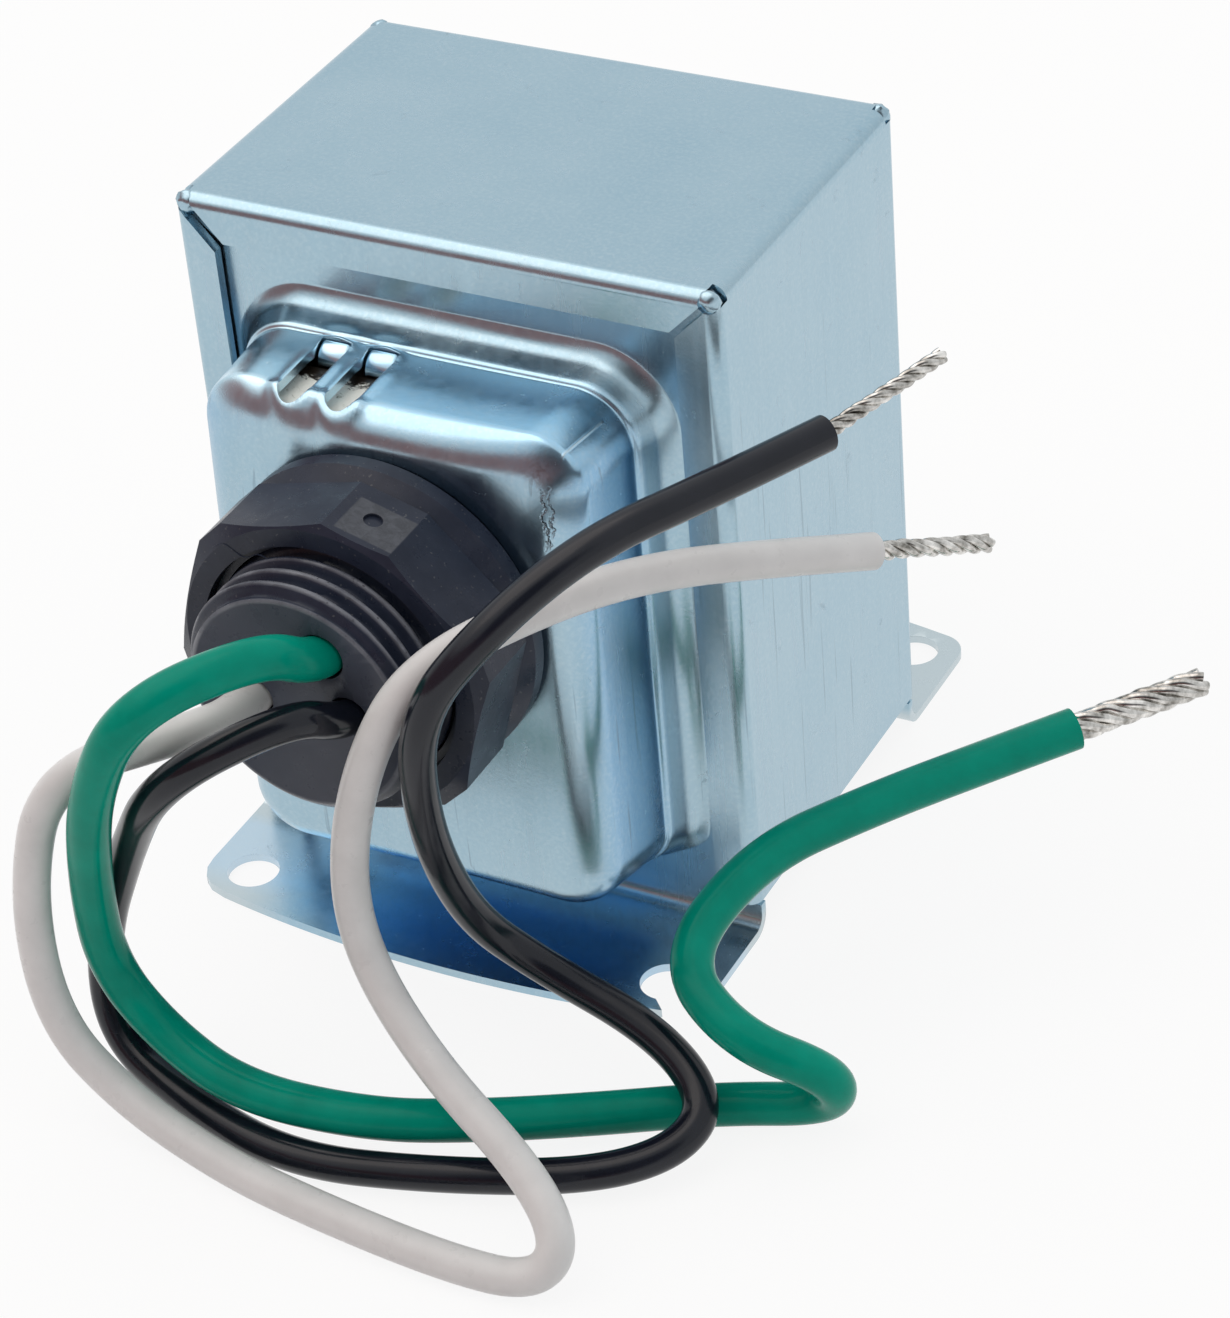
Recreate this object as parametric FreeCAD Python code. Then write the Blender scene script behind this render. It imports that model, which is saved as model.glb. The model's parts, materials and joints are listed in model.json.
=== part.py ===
import FreeCAD, Part
import math
import os

# Doorbell transformer in a folded sheet-steel case, with a threaded conduit hub and three leads.
# Millimetres. The origin is the middle of the four mounting holes, on the underside of the feet.
# +Z is up, the hub and the leads are on the -Y side, and +X is to the right of someone facing the hub.

V = FreeCAD.Vector
X, Y, Z = V(1, 0, 0), V(0, 1, 0), V(0, 0, 1)

# Core: scrapless E and I laminations, all sizes set by the width of the middle leg
tongue = 19.05
stack_depth = 30.6
bundles = 14                # groups of laminations, each turned end for end from the last
core_gap = 0.05             # core to the end plates and to the wrap's top
side_gap = 0.25             # core to the wrap's sides

# Sheet steel
sheet = 0.9                 # wrap
plate = 0.8                 # drawn end plates
fold_radius = 1.3           # outside of the wrap's folds
side_overhang = 2.3         # the wrap's sides reach this far below the core
foot_drop = 3.4             # from the lower edge of the wrap's sides to the underside of the feet
flange_width = 3.8          # folded over the end plates
mitre_gap_left = 0.6
mitre_gap_right = 1.3
corner_notch_radius = 0.9
corner_notch_inset = 0.8    # of the notch's middle from the outside of the wrap
edge_gap = 0.05             # end plate to the inside of the wrap's folds

# Feet
foot_inset = 0.0625         # the foot is this much narrower than the wrap on each side
foot_reach_ear = 11.9       # from the face of the wrap to the edge at the ears
foot_reach_middle = 14.5
foot_bend = 1.2             # inside radius
ear_radius = 2.6
hole_radius = 2.35
hole_reach = 9.0            # from the face of the wrap
hole_side = 4.3             # from the side edge of the foot
throat_width = 3.2          # mouth of the open holes

# Bobbin and windings
bobbin_gap = 0.2
bobbin_wall = 1.1
bobbin_cheek = 1.0          # cheeks and the wall between the windings
cheek_reach = 9.2           # the cheeks stand this far out of the core's face
winding_margin = 0.9        # from the cheek's rim to the wire
tape = 0.5
winding_corner = 5.5
magnet_wire_radius = 0.4

# Drawn pans of the end plates
pan_top_room = 0.8          # room round the bobbin inside the pan
pan_low_room = 8.4
pan_side_room = 3.35
pan_front_room = 4.35
pan_taper = 0.9             # the pan is narrower by this much a side at its front
pan_low_taper = 2.5
pan_top_taper = 0.3
pan_corner = 5.0
pan_edge = 3.0              # outside radius of the front edges
step_reach = 2.0            # the step round the pan stands this far out of the wrap's face
step_side = 1.5             # how far the step stands out at the sides
step_top = 2.1
step_low = 1.3              # the step ends this far above the bottom of the pan
step_corner = 5.8
step_low_corner = 1.9
step_edge = 0.9
slot_width = 2.8
slot_inner = 3.0            # from the face of the wrap to the slot's inner end
slot_length = 8.4
slot_offset = 3.9           # of the slot nearer the middle
slot_pitch = 4.45
tab_radius = 1.6            # outside of the tab that is turned down at the slot's inner end
tab_gap = 0.15

# Conduit hub and its locknut
hub_rise = 2.95             # hub's axis above the middle of the coil
hub_radius = 10.65          # outside of the half-inch conduit thread
hub_wall = 2.15
hub_reach = 27.65           # from the face of the wrap to the end of the hub
hub_face = 2.6              # thickness of the end with the lead holes
hub_chamfer = 0.8
hub_chamfer_width = 1.1
hub_collar_width = 1.95
hub_collar = 1.8
hub_hole_gap = 0.15
nut_wall = 2.65             # from the thread to a flat
nut_corner_wall = 3.8       # from the thread to the flats that cut off the corners
nut_pad_wall = 2.95         # from the thread to the pad on one corner
nut_collar_wall = 3.65
nut_collar = 3.3
nut_hex = 6.8
nut_mouth_room = 0.95       # the mouth is wider than the thread by this much all round
nut_mouth_depth = 1.2
nut_chamfer = 1.0
nut_chamfer_width = 1.3
nut_turn = 14.0             # degrees that the nut is turned from corner to the side
dimple_radius = 0.8
dimple_depth = 0.3

# Leads: radius of the insulation, then the middle's distance from the hub's bore and its angle round the hub
green_radius, green_wall, green_angle = 1.8, 2.8, 61.5
black_radius, black_wall, black_angle = 1.5, 3.7, -1.2
white_radius, white_wall, white_angle = 1.55, 4.5, 185.7
lead_gap = 0.2
lead_inside = 5.0           # length of lead behind the hub's end face
lead_straight = 1.9         # before a lead's first bend
crimp_radius = 1.9
crimp_length = 5.5
bare_length = 12.4
bare_green_length = 12.0
bare_radius = 0.8
bare_green_radius = 1.2

# Earth lug, under the hub's collar
lug = 0.6
lug_inset = 0.4             # under the hub's collar
lug_tongue_width = 3.0
lug_tongue_gap = 0.3

# Thermal cut-out, taped to the coil
cutout_radius = 1.1
cutout_cover = 1.5          # of tape past each end of the cut-out
pad_margin = 0.5875         # from the pad's end to the bobbin's middle wall
pad_height = 2.9
pad_reach = 3.9             # past the winding's tape
pad_room = 0.75             # under the inside of the pan's top
pad_seat = 2.0              # depth of the pad over the winding's rounded corner
pad_hub_gap = 0.3           # round the hub's collar

# Terminal board in the rear pan
board = 1.8
board_half_width = 13.6
board_height = 17.0
window_half_width = 9.4
window_height = 12.6
window_corner = 2.0
terminal_spacing = 9.6
terminal_plate = 0.8
terminal_plate_width = 8.0
terminal_plate_height = 9.6
terminal_screw_radius = 2.0
terminal_head_radius = 3.6
terminal_head = 2.1
terminal_slot = 0.9
terminal_nut_flats = 7.0
terminal_nut = 1.7
tail_gap = 0.15
tail_drop = 6.0             # from a tail's end down to the wire's place on the coil
rivet_radius = 1.4
rivet_head_radius = 2.4
rivet_head = 0.7
rivet_offset = 11.4

# What follows from the sizes above
core_height = 3 * tongue
core_width = 2.5 * tongue
leg = tongue / 2
window_length = 1.5 * tongue
box_half_width = core_width / 2 + side_gap + sheet
foot_half_width = box_half_width - foot_inset
hole_offset = foot_half_width - hole_side
plate_inner = stack_depth / 2 + core_gap
plate_outer = plate_inner + plate
wrap_face = plate_outer + sheet
core_low = foot_drop + side_overhang
core_top = core_low + core_height
box_top = core_top + core_gap + sheet
coil_middle = (core_low + core_top) / 2
cheek_half_height = leg + leg - bobbin_gap
cheek_front = stack_depth / 2 + cheek_reach
bobbin_half_length = window_length / 2 - bobbin_gap
pan_half_width = bobbin_half_length + pan_side_room + plate
pan_high = coil_middle + cheek_half_height + pan_top_room + plate
pan_low = coil_middle - cheek_half_height - pan_low_room - plate
pan_front = cheek_front + pan_front_room + plate
hub_z = coil_middle + hub_rise
hub_bore = hub_radius - hub_wall
hub_collar_radius = hub_radius + hub_collar_width
green_at, black_at, white_at = [
    ((hub_bore - wall) * math.cos(math.radians(angle)), (hub_bore - wall) * math.sin(math.radians(angle)))
    for wall, angle in ((green_wall, green_angle), (black_wall, black_angle), (white_wall, white_angle))
]
lug_radius = hub_collar_radius - lug_inset
nut_flats = 2 * (hub_radius + nut_wall)
nut_corner_flats = 2 * (hub_radius + nut_corner_wall)
nut_pad_reach = hub_radius + nut_pad_wall
nut_collar_radius = hub_radius + nut_collar_wall
nut_mouth_radius = hub_radius + nut_mouth_room
pad_length = bobbin_half_length - 1.5 * bobbin_cheek - pad_margin
cutout_length = pad_length - 2 * cutout_cover
hub_end = wrap_face + hub_reach
crimp_end = hub_end - lead_inside - crimp_length
winding_reach = cheek_front - winding_margin
winding_half_height = cheek_half_height - winding_margin


def box(x0, x1, y0, y1, z0, z1):
    return Part.makeBox(x1 - x0, y1 - y0, z1 - z0, V(x0, y0, z0))


def cylinder(radius, start, end):
    line = end - start
    return Part.makeCylinder(radius, line.Length, start, line)


def polygon(points):
    return Part.makePolygon(points + points[:1])


def prism(points, direction):
    return Part.Face(polygon(points)).extrude(direction)


def outline(y, half_width, low, high, low_corner, high_corner):
    """A rectangle with rounded corners in the plane of that y."""
    turns = (
        (half_width - high_corner, high - high_corner, high_corner, 0),
        (high_corner - half_width, high - high_corner, high_corner, 90),
        (low_corner - half_width, low + low_corner, low_corner, 180),
        (half_width - low_corner, low + low_corner, low_corner, 270),
    )
    arcs = []
    for x, z, radius, angle in turns:
        at = [V(x + radius * math.cos(math.radians(angle + a)), y,
                z + radius * math.sin(math.radians(angle + a))) for a in (0, 45, 90)]
        arcs.append(Part.Arc(*at))
    edges = []
    for arc, following in zip(arcs, arcs[1:] + arcs[:1]):
        edges.append(arc.toShape())
        edges.append(Part.LineSegment(arc.EndPoint, following.StartPoint).toShape())
    return Part.Wire(edges)


def edges_at(shape, y, tolerance=1e-3):
    """The edges that lie in the plane of that y."""
    return [e for e in shape.Edges if all(abs(v.Y - y) < tolerance for v in e.Vertexes)
            and abs(e.CenterOfMass.y - y) < tolerance]


def turned(shape):
    """The same shape on the other side of the part."""
    copy = shape.copy()
    copy.rotate(V(0, 0, 0), Z, 180)
    return copy


def ring(half_width, half_height, corner, x0, x1, hollow_half_width, hollow_half_height, hollow_corner):
    """A rectangular tube along X round the middle leg; half_width is along Y."""
    def bar(a, b, r):
        body = box(x0, x1, -a, a, coil_middle - b, coil_middle + b)
        along = [e for e in body.Edges if abs(e.BoundBox.XLength - (x1 - x0)) < 1e-3]
        return body.makeFillet(r, along) if r > 0 else body
    hollow = bar(hollow_half_width, hollow_half_height, hollow_corner)
    return bar(half_width, half_height, corner).cut(hollow)


# Case

def make_wrap():
    """One strip of steel over both sides and the top, its front and rear edges folded over the end plates."""
    low = foot_drop
    body = box(-box_half_width, box_half_width, -wrap_face, wrap_face, low, box_top)
    inside = box(sheet - box_half_width, box_half_width - sheet, sheet - wrap_face, wrap_face - sheet,
                 low - 1, box_top - sheet)

    def folds(solid, half_width, face, top):
        chosen = []
        for e in solid.Edges:
            p = e.CenterOfMass
            on = (abs(abs(p.x) - half_width) < 1e-3, abs(abs(p.y) - face) < 1e-3, abs(p.z - top) < 1e-3)
            if sum(on) == 2:
                chosen.append(e)
        return chosen

    body = body.makeFillet(fold_radius, folds(body, box_half_width, wrap_face, box_top))
    inner_fold = max(fold_radius - sheet, 0.1)
    inside = inside.makeFillet(inner_fold, folds(inside, box_half_width - sheet, wrap_face - sheet,
                                                 box_top - sheet))
    window = box(flange_width - box_half_width, box_half_width - flange_width, -wrap_face - 1, wrap_face + 1,
                 low - 1, box_top - flange_width)
    wrap = body.cut(inside).cut(window)
    for side in (-1, 1):
        for face in (-1, 1):
            gap = mitre_gap_left if side * face > 0 else mitre_gap_right
            wrap = wrap.cut(mitre(side, face, gap))
    return wrap


def mitre(side, face, gap):
    """The slit between two flanges at a corner, and the notch that the fold leaves at its end."""
    long = 2 * flange_width
    slit = box(-long, long, 0, fold_radius + 0.3, -gap / 2, gap / 2)
    slit.rotate(V(0, 0, 0), Y, -45 * side)
    slit.translate(V(side * (box_half_width - flange_width / 2), 0, box_top - flange_width / 2))
    y = -face * wrap_face
    slit.translate(V(0, y if y < 0 else y - fold_radius - 0.3, 0))
    corner, high = side * (box_half_width - corner_notch_inset), box_top - corner_notch_inset
    notch = cylinder(corner_notch_radius, V(corner, y * 1.1, high),
                     V(corner, y - math.copysign(fold_radius + 0.6, y), high))
    return slit.fuse(notch)


def pan_solid(inset, start):
    """The pan from start to its front; inset is the depth under its outer surface."""
    def section(y):
        share = (y - plate_outer) / (pan_front - plate_outer)
        return outline(-y, pan_half_width - inset - pan_taper * share,
                       pan_low + inset + pan_low_taper * share, pan_high - inset - pan_top_taper * share,
                       pan_corner - inset, pan_corner - inset)
    solid = Part.makeLoft([section(start), section(pan_front - inset)], True, True)
    return solid.makeFillet(pan_edge - inset, edges_at(solid, inset - pan_front))


def step_solid(inset, start):
    front = wrap_face + step_reach - inset
    face = Part.Face(outline(-start, pan_half_width + step_side - inset, pan_low + step_low + inset,
                             pan_high + step_top - inset, step_low_corner, step_corner - inset))
    solid = face.extrude(V(0, start - front, 0))
    return solid.makeFillet(max(step_edge - inset, 0.15), edges_at(solid, -front))


plate_margin = fold_radius - sheet + edge_gap     # the plate's edge clears the round inside of a fold


def foot_blank():
    """The flat of an end plate and the foot that is bent out of it, with no pan."""
    inner, outer = plate_inner, plate_outer
    reach = wrap_face + foot_reach_middle + 1
    bend = V(0, -outer - foot_bend, plate + foot_bend)
    diagonal = V(0, math.sqrt(0.5), -math.sqrt(0.5))
    top = box_top - sheet - plate_margin
    inside_bend = Part.Arc(V(0, -outer, bend.z), bend + diagonal * foot_bend, V(0, bend.y, plate))
    outside_bend = Part.Arc(V(0, bend.y, 0), bend + diagonal * (foot_bend + plate), V(0, -inner, bend.z))
    corners = (V(0, -outer, bend.z), V(0, bend.y, plate), V(0, -reach, plate), V(0, -reach, 0),
               V(0, bend.y, 0), V(0, -inner, bend.z), V(0, -inner, top), V(0, -outer, top))
    line = Part.LineSegment
    profile = Part.Wire([inside_bend.toShape(), line(corners[1], corners[2]).toShape(),
                         line(corners[2], corners[3]).toShape(), line(corners[3], corners[4]).toShape(),
                         outside_bend.toShape(), line(corners[5], corners[6]).toShape(),
                         line(corners[6], corners[7]).toShape(), line(corners[7], corners[0]).toShape()])
    profile.translate(V(-foot_half_width, 0, 0))
    blank = Part.Face(profile).extrude(V(2 * foot_half_width, 0, 0))
    inside_wrap = box_half_width - sheet - plate_margin
    for side in (-1, 1):
        trim = box(min(side * inside_wrap, side * 40), max(side * inside_wrap, side * 40), -wrap_face, 0,
                   foot_drop - plate_margin, box_top)
        blank = blank.cut(trim)
    return blank.common(foot_plan())


def foot_plan():
    """The foot's outline seen from above: ears at the corners and an edge that bulges between them."""
    half, ear = foot_half_width, -wrap_face - foot_reach_ear
    middle = V(0, -wrap_face - foot_reach_middle, 0)
    left, right = V(-half, ear, 0), V(half, ear, 0)
    front = Part.Arc(left, middle, right).toShape()
    sides = [Part.LineSegment(right, V(half, 0, 0)).toShape(),
             Part.LineSegment(V(half, 0, 0), V(-half, 0, 0)).toShape(),
             Part.LineSegment(V(-half, 0, 0), left).toShape()]
    solid = Part.Face(Part.Wire([front] + sides)).extrude(V(0, 0, box_top))
    ears = [e for e in solid.Edges if abs(e.BoundBox.ZLength - box_top) < 1e-3
            and abs(e.CenterOfMass.y - ear) < 1e-3]
    return solid.makeFillet(ear_radius, ears)


def mounting_holes():
    """A round hole at the left of the foot, and at the right one that is open towards the corner."""
    y = -wrap_face - hole_reach
    closed = cylinder(hole_radius, V(-hole_offset, y, -1), V(-hole_offset, y, plate + 1))
    open_hole = cylinder(hole_radius, V(hole_offset, y, -1), V(hole_offset, y, plate + 1))
    throat = box(0, 4 * hole_radius, -throat_width / 2, throat_width / 2, -1, plate + 1)
    throat.rotate(V(0, 0, 0), Z, -45)
    throat.translate(V(hole_offset, y, 0))
    return closed.fuse(open_hole.fuse(throat))


def drawn_plate():
    """An end plate with its pan, the step round the pan and its foot."""
    solid = foot_blank().fuse([step_solid(0, plate_inner), pan_solid(0, plate_inner)])
    inside = pan_solid(plate, plate_inner - 1).fuse(step_solid(plate, plate_inner - 1))
    return solid.cut(inside).cut(mounting_holes()).removeSplitter()


def pan_top_at(y):
    return pan_high - pan_top_taper * (y - plate_outer) / (pan_front - plate_outer)


def slot_and_tab(x):
    """A slot through the pan's top, and the tab that is turned down at its inner end."""
    start = wrap_face + slot_inner
    end = start + slot_length
    half = slot_width / 2
    slot = box(x - half, x + half, half - end, -start, pan_high - 3, pan_high + 2)
    slot = slot.fuse(cylinder(half, V(x, half - end, pan_high - 3), V(x, half - end, pan_high + 2)))
    middle_z = pan_top_at(start) - tab_radius
    reach = V(slot_width - 2 * tab_gap, 0, 0)
    at = V(x - half + tab_gap, -start, middle_z)
    tab = Part.makeCylinder(tab_radius, reach.x, at, X).cut(
        Part.makeCylinder(tab_radius - plate, reach.x, at, X))
    quarter = box(x - half, x + half, -start - tab_radius, 0.01 - start, middle_z, middle_z + tab_radius)
    return slot, tab.common(quarter)


def make_front_plate():
    solid = drawn_plate()
    hub_hole = cylinder(hub_radius + hub_hole_gap, V(0, -pan_front - 1, hub_z), V(0, -cheek_front, hub_z))
    solid = solid.cut(hub_hole)
    for x in (-slot_offset, -slot_offset - slot_pitch):
        slot, tab = slot_and_tab(x)
        solid = solid.cut(slot).fuse(tab)
    return solid.removeSplitter()


def make_rear_plate():
    solid = drawn_plate()
    face = Part.Face(outline(-pan_front - 1, window_half_width, hub_z - window_height / 2,
                             hub_z + window_height / 2, window_corner, window_corner))
    solid = solid.cut(face.extrude(V(0, pan_front - cheek_front + 1, 0)))
    for x in (-rivet_offset, rivet_offset):
        solid = solid.cut(cylinder(rivet_radius, V(x, -pan_front - 1, hub_z), V(x, -cheek_front, hub_z)))
    return turned(solid)


# Core and coil

def lamination(kind, flip, y0, y1):
    """A bundle of E or of I laminations, from y0 to y1."""
    half = core_width / 2
    if kind == "I":
        shape = box(half - leg, half, y0, y1, core_low, core_top)
    else:
        shape = box(-half, half - leg, y0, y1, core_low, core_top)
        for low in (core_low + leg, core_top - 2 * leg):
            shape = shape.cut(box(leg - half, half, y0 - 1, y1 + 1, low, low + leg))
    if flip:
        shape = shape.mirror(V(0, 0, 0), X)
    return shape


def make_laminations(kind):
    thick = stack_depth / bundles
    return Part.makeCompound([
        lamination(kind, i % 2 == 1, i * thick - stack_depth / 2, (i + 1) * thick - stack_depth / 2)
        for i in range(bundles)
    ])


tube_half_depth = stack_depth / 2 + bobbin_gap / 2 + bobbin_wall
tube_half_height = leg + bobbin_gap / 2 + bobbin_wall


def make_bobbin():
    """Moulded tube on the middle leg, with two cheeks and a wall between the two windings."""
    hollow = (tube_half_depth - bobbin_wall, tube_half_height - bobbin_wall, 0)
    end = bobbin_half_length
    parts = [ring(cheek_front, cheek_half_height, 2.5, x0, x0 + bobbin_cheek, *hollow)
             for x0 in (-end, -bobbin_cheek / 2, end - bobbin_cheek)]
    tube = ring(tube_half_depth, tube_half_height, 0, -end, end, *hollow)
    return tube.fuse(parts).removeSplitter()


def winding_span(side):
    """The two x of a winding's ends; side -1 is the primary and 1 the secondary."""
    near, far = bobbin_cheek / 2, bobbin_half_length - bobbin_cheek
    return (-far, -near) if side < 0 else (near, far)


def make_winding(side):
    return ring(winding_reach - tape, winding_half_height - tape, winding_corner - tape,
                *winding_span(side), tube_half_depth, tube_half_height, 0)


def make_tape(side):
    return ring(winding_reach, winding_half_height, winding_corner, *winding_span(side),
                winding_reach - tape, winding_half_height - tape, winding_corner - tape)


pad_left = -winding_span(1)[1]
pad_high = pan_top_at(winding_reach + pad_reach) - plate - pad_room
cutout_at = V(0, -winding_reach - pad_reach / 2, pad_high - pad_height / 2)


def make_tape_pad():
    """Folded tape that holds the thermal cut-out on the primary, under the pan's two slots."""
    pad = box(pad_left, pad_left + pad_length, -winding_reach - pad_reach, -tube_half_depth,
              pad_high - pad_height, pad_high)
    rounded = [e for e in pad.Edges if abs(e.BoundBox.XLength - pad_length) < 1e-3
               and abs(e.CenterOfMass.y + winding_reach + pad_reach) < 1e-3]
    pad = pad.makeFillet(pad_height * 0.4, rounded)
    coil = box(pad_left - 1, pad_left + pad_length + 1, -winding_reach, winding_reach,
               coil_middle - winding_half_height, coil_middle + winding_half_height)
    along = [e for e in coil.Edges if abs(e.BoundBox.XLength - pad_length - 2) < 1e-3]
    pad = pad.cut(coil.makeFillet(winding_corner, along))
    behind = box(pad_left - 1, pad_left + pad_length + 1, -winding_reach + pad_seat, 0,
                 coil_middle, box_top)
    pad = pad.cut(behind)
    collar_back = V(0, hub_collar + pad_hub_gap - collar_seat, hub_z)
    pad = pad.cut(cylinder(hub_collar_radius + pad_hub_gap, V(0, -pan_front, hub_z), collar_back))
    middle = pad_left + pad_length / 2
    half = cutout_length / 2
    return pad.cut(cylinder(cutout_radius, cutout_at + X * (middle - half), cutout_at + X * (middle + half)))


def make_thermal_cutout():
    middle = pad_left + pad_length / 2
    half = cutout_length / 2
    body = cylinder(cutout_radius, cutout_at + X * (middle - half), cutout_at + X * (middle + half))
    return body.makeChamfer(0.25, [e for e in body.Edges if e.Closed])


# Hub, nut and earth lug

def turned_profile(points):
    """Turns a profile of (radius, distance towards -Y) round the hub's axis."""
    face = Part.Face(polygon([V(r, -d, hub_z) for r, d in points]))
    return face.revolve(V(0, 0, hub_z), Y, 360)


collar_seat = pan_front - plate - lug


def make_hub():
    """Threaded nipple with an inner collar and a closed end that the leads pass through."""
    end = hub_end
    hub = turned_profile([
        (hub_bore, collar_seat - hub_collar), (hub_collar_radius, collar_seat - hub_collar),
        (hub_collar_radius, collar_seat), (hub_radius, collar_seat), (hub_radius, end - hub_chamfer),
        (hub_radius - hub_chamfer_width, end), (0, end), (0, end - hub_face), (hub_bore, end - hub_face),
    ])
    for radius, (x, z) in ((green_radius, green_at), (black_radius, black_at), (white_radius, white_at)):
        outside, inside = V(x, -end - 1, hub_z + z), V(x, 1 - end + hub_face, hub_z + z)
        hub = hub.cut(cylinder(radius + lead_gap, outside, inside))
    return hub


def hexagon(flats, start, end, turn):
    """A hexagonal bar along the hub's axis."""
    radius = flats / 2 / math.cos(math.radians(30))
    angles = [math.radians(60 * corner + turn) for corner in range(6)]
    points = [V(radius * math.cos(a), -start, hub_z + radius * math.sin(a)) for a in angles]
    return prism(points, V(0, start - end, 0))


def make_nut():
    """Hexagonal locknut: corners cut off flat, a round collar against the case and a wide mouth in front."""
    start, end = pan_front, pan_front + nut_collar + nut_hex
    bar = hexagon(nut_flats, start + nut_collar, end, nut_turn)
    bar = bar.common(hexagon(nut_corner_flats, start + nut_collar, end, nut_turn + 30))
    corner = nut_corner_flats / 2
    front = turned_profile([(0, start), (corner * 1.1, start), (corner * 1.1, end - nut_chamfer),
                            (corner, end - nut_chamfer * 0.7), (corner - nut_chamfer_width, end), (0, end)])
    collar = turned_profile([(0, start), (nut_collar_radius - 0.6, start), (nut_collar_radius, start + 0.6),
                             (nut_collar_radius, start + nut_collar * 0.6),
                             (nut_collar_radius - 1, start + nut_collar), (0, start + nut_collar)])
    bore = hub_radius + hub_hole_gap
    mouth = turned_profile([(0, start - 1), (bore, start - 1), (bore, end - nut_mouth_depth),
                            (nut_mouth_radius - 0.2, end - nut_mouth_depth), (nut_mouth_radius, end + 1),
                            (0, end + 1)])
    nut = bar.common(front).fuse(collar).cut(mouth)
    pad_cut = box(nut_pad_reach, nut_pad_reach + 5, -end - 1, -start - nut_collar, -5, 5)
    pad_cut.rotate(V(0, 0, 0), Y, -nut_turn - 60)
    pad_cut.translate(V(0, 0, hub_z))
    angle = math.radians(nut_turn + 60)
    out = V(math.cos(angle), 0, math.sin(angle))
    at = V(0, -start - nut_collar - nut_hex * 0.5, hub_z) + out * nut_pad_reach
    nut = nut.cut(pad_cut).cut(cylinder(dimple_radius, at - out * dimple_depth, at + out))
    return nut.removeSplitter()


def make_lug():
    """Flat ring between the hub's collar and the pan, with a tongue folded back to the green lead."""
    seat = pan_front - plate
    ring_part = turned_profile([(hub_radius + hub_hole_gap, seat - lug), (lug_radius, seat - lug),
                                (lug_radius, seat), (hub_radius + hub_hole_gap, seat)])
    x = green_at[0]
    half = lug_tongue_width / 2
    outside = hub_collar_radius + lug_tongue_gap
    back = collar_seat - hub_collar - lug
    low = hub_z + green_at[1] - crimp_radius
    high = hub_z + outside + lug
    out = box(x - half, x + half, -seat, lug - seat, hub_z + hub_radius + hub_hole_gap + 0.5, high)
    over = box(x - half, x + half, -seat, -back, hub_z + outside, high)
    down = box(x - half, x + half, -back - lug, -back, low, high)
    return ring_part.fuse([out, over, down]).removeSplitter()


def make_crimp(at, radius, start):
    """A barrel that joins a lead's end to what lies behind it."""
    x, z = at
    behind = hub_end - lead_inside
    return cylinder(radius, V(x, -start, hub_z + z), V(x, -behind, hub_z + z))


# Leads

def route_frame(points):
    return [V(*p) for p in points]


def tube(points, radius, label):
    """Straight runs joined by arcs that touch them, swept by a circle; prints the radii and the volume."""
    edges, radii = [], []
    start = points[0]
    for before, here, after in zip(points, points[1:], points[2:]):
        into, out = here - before, after - here
        shorter = min(into.Length, out.Length)
        turn = into.getAngle(out)
        back = 0.45 * shorter
        radii.append(back / math.tan(turn / 2))
        a, b = here - into / into.Length * back, here + out / out.Length * back
        middle = (a + b) / 2
        centre = here + (middle - here) / (middle - here).Length * (radii[-1] / math.cos(turn / 2))
        top = centre + (here - centre) / (here - centre).Length * radii[-1]
        edges.append(Part.LineSegment(start, a).toShape())
        edges.append(Part.Arc(a, top, b).toShape())
        start = b
    edges.append(Part.LineSegment(start, points[-1]).toShape())
    path = Part.Wire(edges)
    first = points[1] - points[0]
    circle = Part.Wire(Part.makeCircle(radius, points[0], first))
    solid = path.makePipeShell([circle], True, False)
    share = solid.Volume / (math.pi * radius ** 2 * path.Length)
    lowest = min(p.z for p in solid.tessellate(0.02)[0])
    print(f"{label}: length {path.Length:.1f}, smallest radii {[round(r, 1) for r in sorted(radii)[:5]]}, "
          f"volume over section times length {share:.4f}, lowest {lowest:.2f}")
    return solid


def lead_start(at):
    """Where a lead begins inside the hub, and where it comes out of the hub's end."""
    x, z = at
    return [(x, lead_inside - hub_end, hub_z + z), (x, -hub_end - lead_straight, hub_z + z)]


green_route = lead_start(green_at) + [
    (3.0, -50.5, 47.0), (-6.0, -58.5, 44.5), (-11.5, -58.0, 34.5), (-15.0, -55.5, 23.0),
    (-16.0, -54.0, 13.0), (-11.5, -54.0, 7.0), (-3.0, -56.0, 5.0), (8.0, -54.5, 4.5),
    (15.5, -51.0, 4.0), (23.5, -45.0, 2.5), (32.0, -39.5, 2.0), (41.0, -36.5, 2.5), (42.5, -39.0, 8.0),
    (35.0, -41.5, 11.5), (28.0, -37.5, 14.5), (30.5, -27.0, 18.0), (37.0, -18.5, 19.0),
    (42.0, -11.5, 19.0), (49.0, -4.0, 20.0),
]
black_route = lead_start(black_at) + [
    (3.0, -51.0, 41.0), (-6.0, -56.5, 36.0), (-14.0, -51.5, 23.5), (-19.0, -50.5, 12.0),
    (-17.5, -53.0, 4.0), (-9.0, -55.5, 1.6), (2.5, -58.5, 1.6), (14.5, -56.0, 2.0), (26.0, -51.5, 2.0),
    (32.0, -47.0, 3.0), (33.0, -42.5, 5.0), (27.0, -39.5, 8.0), (16.0, -39.5, 12.0),
    (12.0, -42.5, 18.0), (11.5, -46.5, 29.5), (13.5, -49.0, 42.5), (18.5, -45.5, 49.5),
    (24.0, -38.0, 54.0), (29.5, -29.0, 54.5), (34.5, -18.5, 54.5),
]
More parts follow.
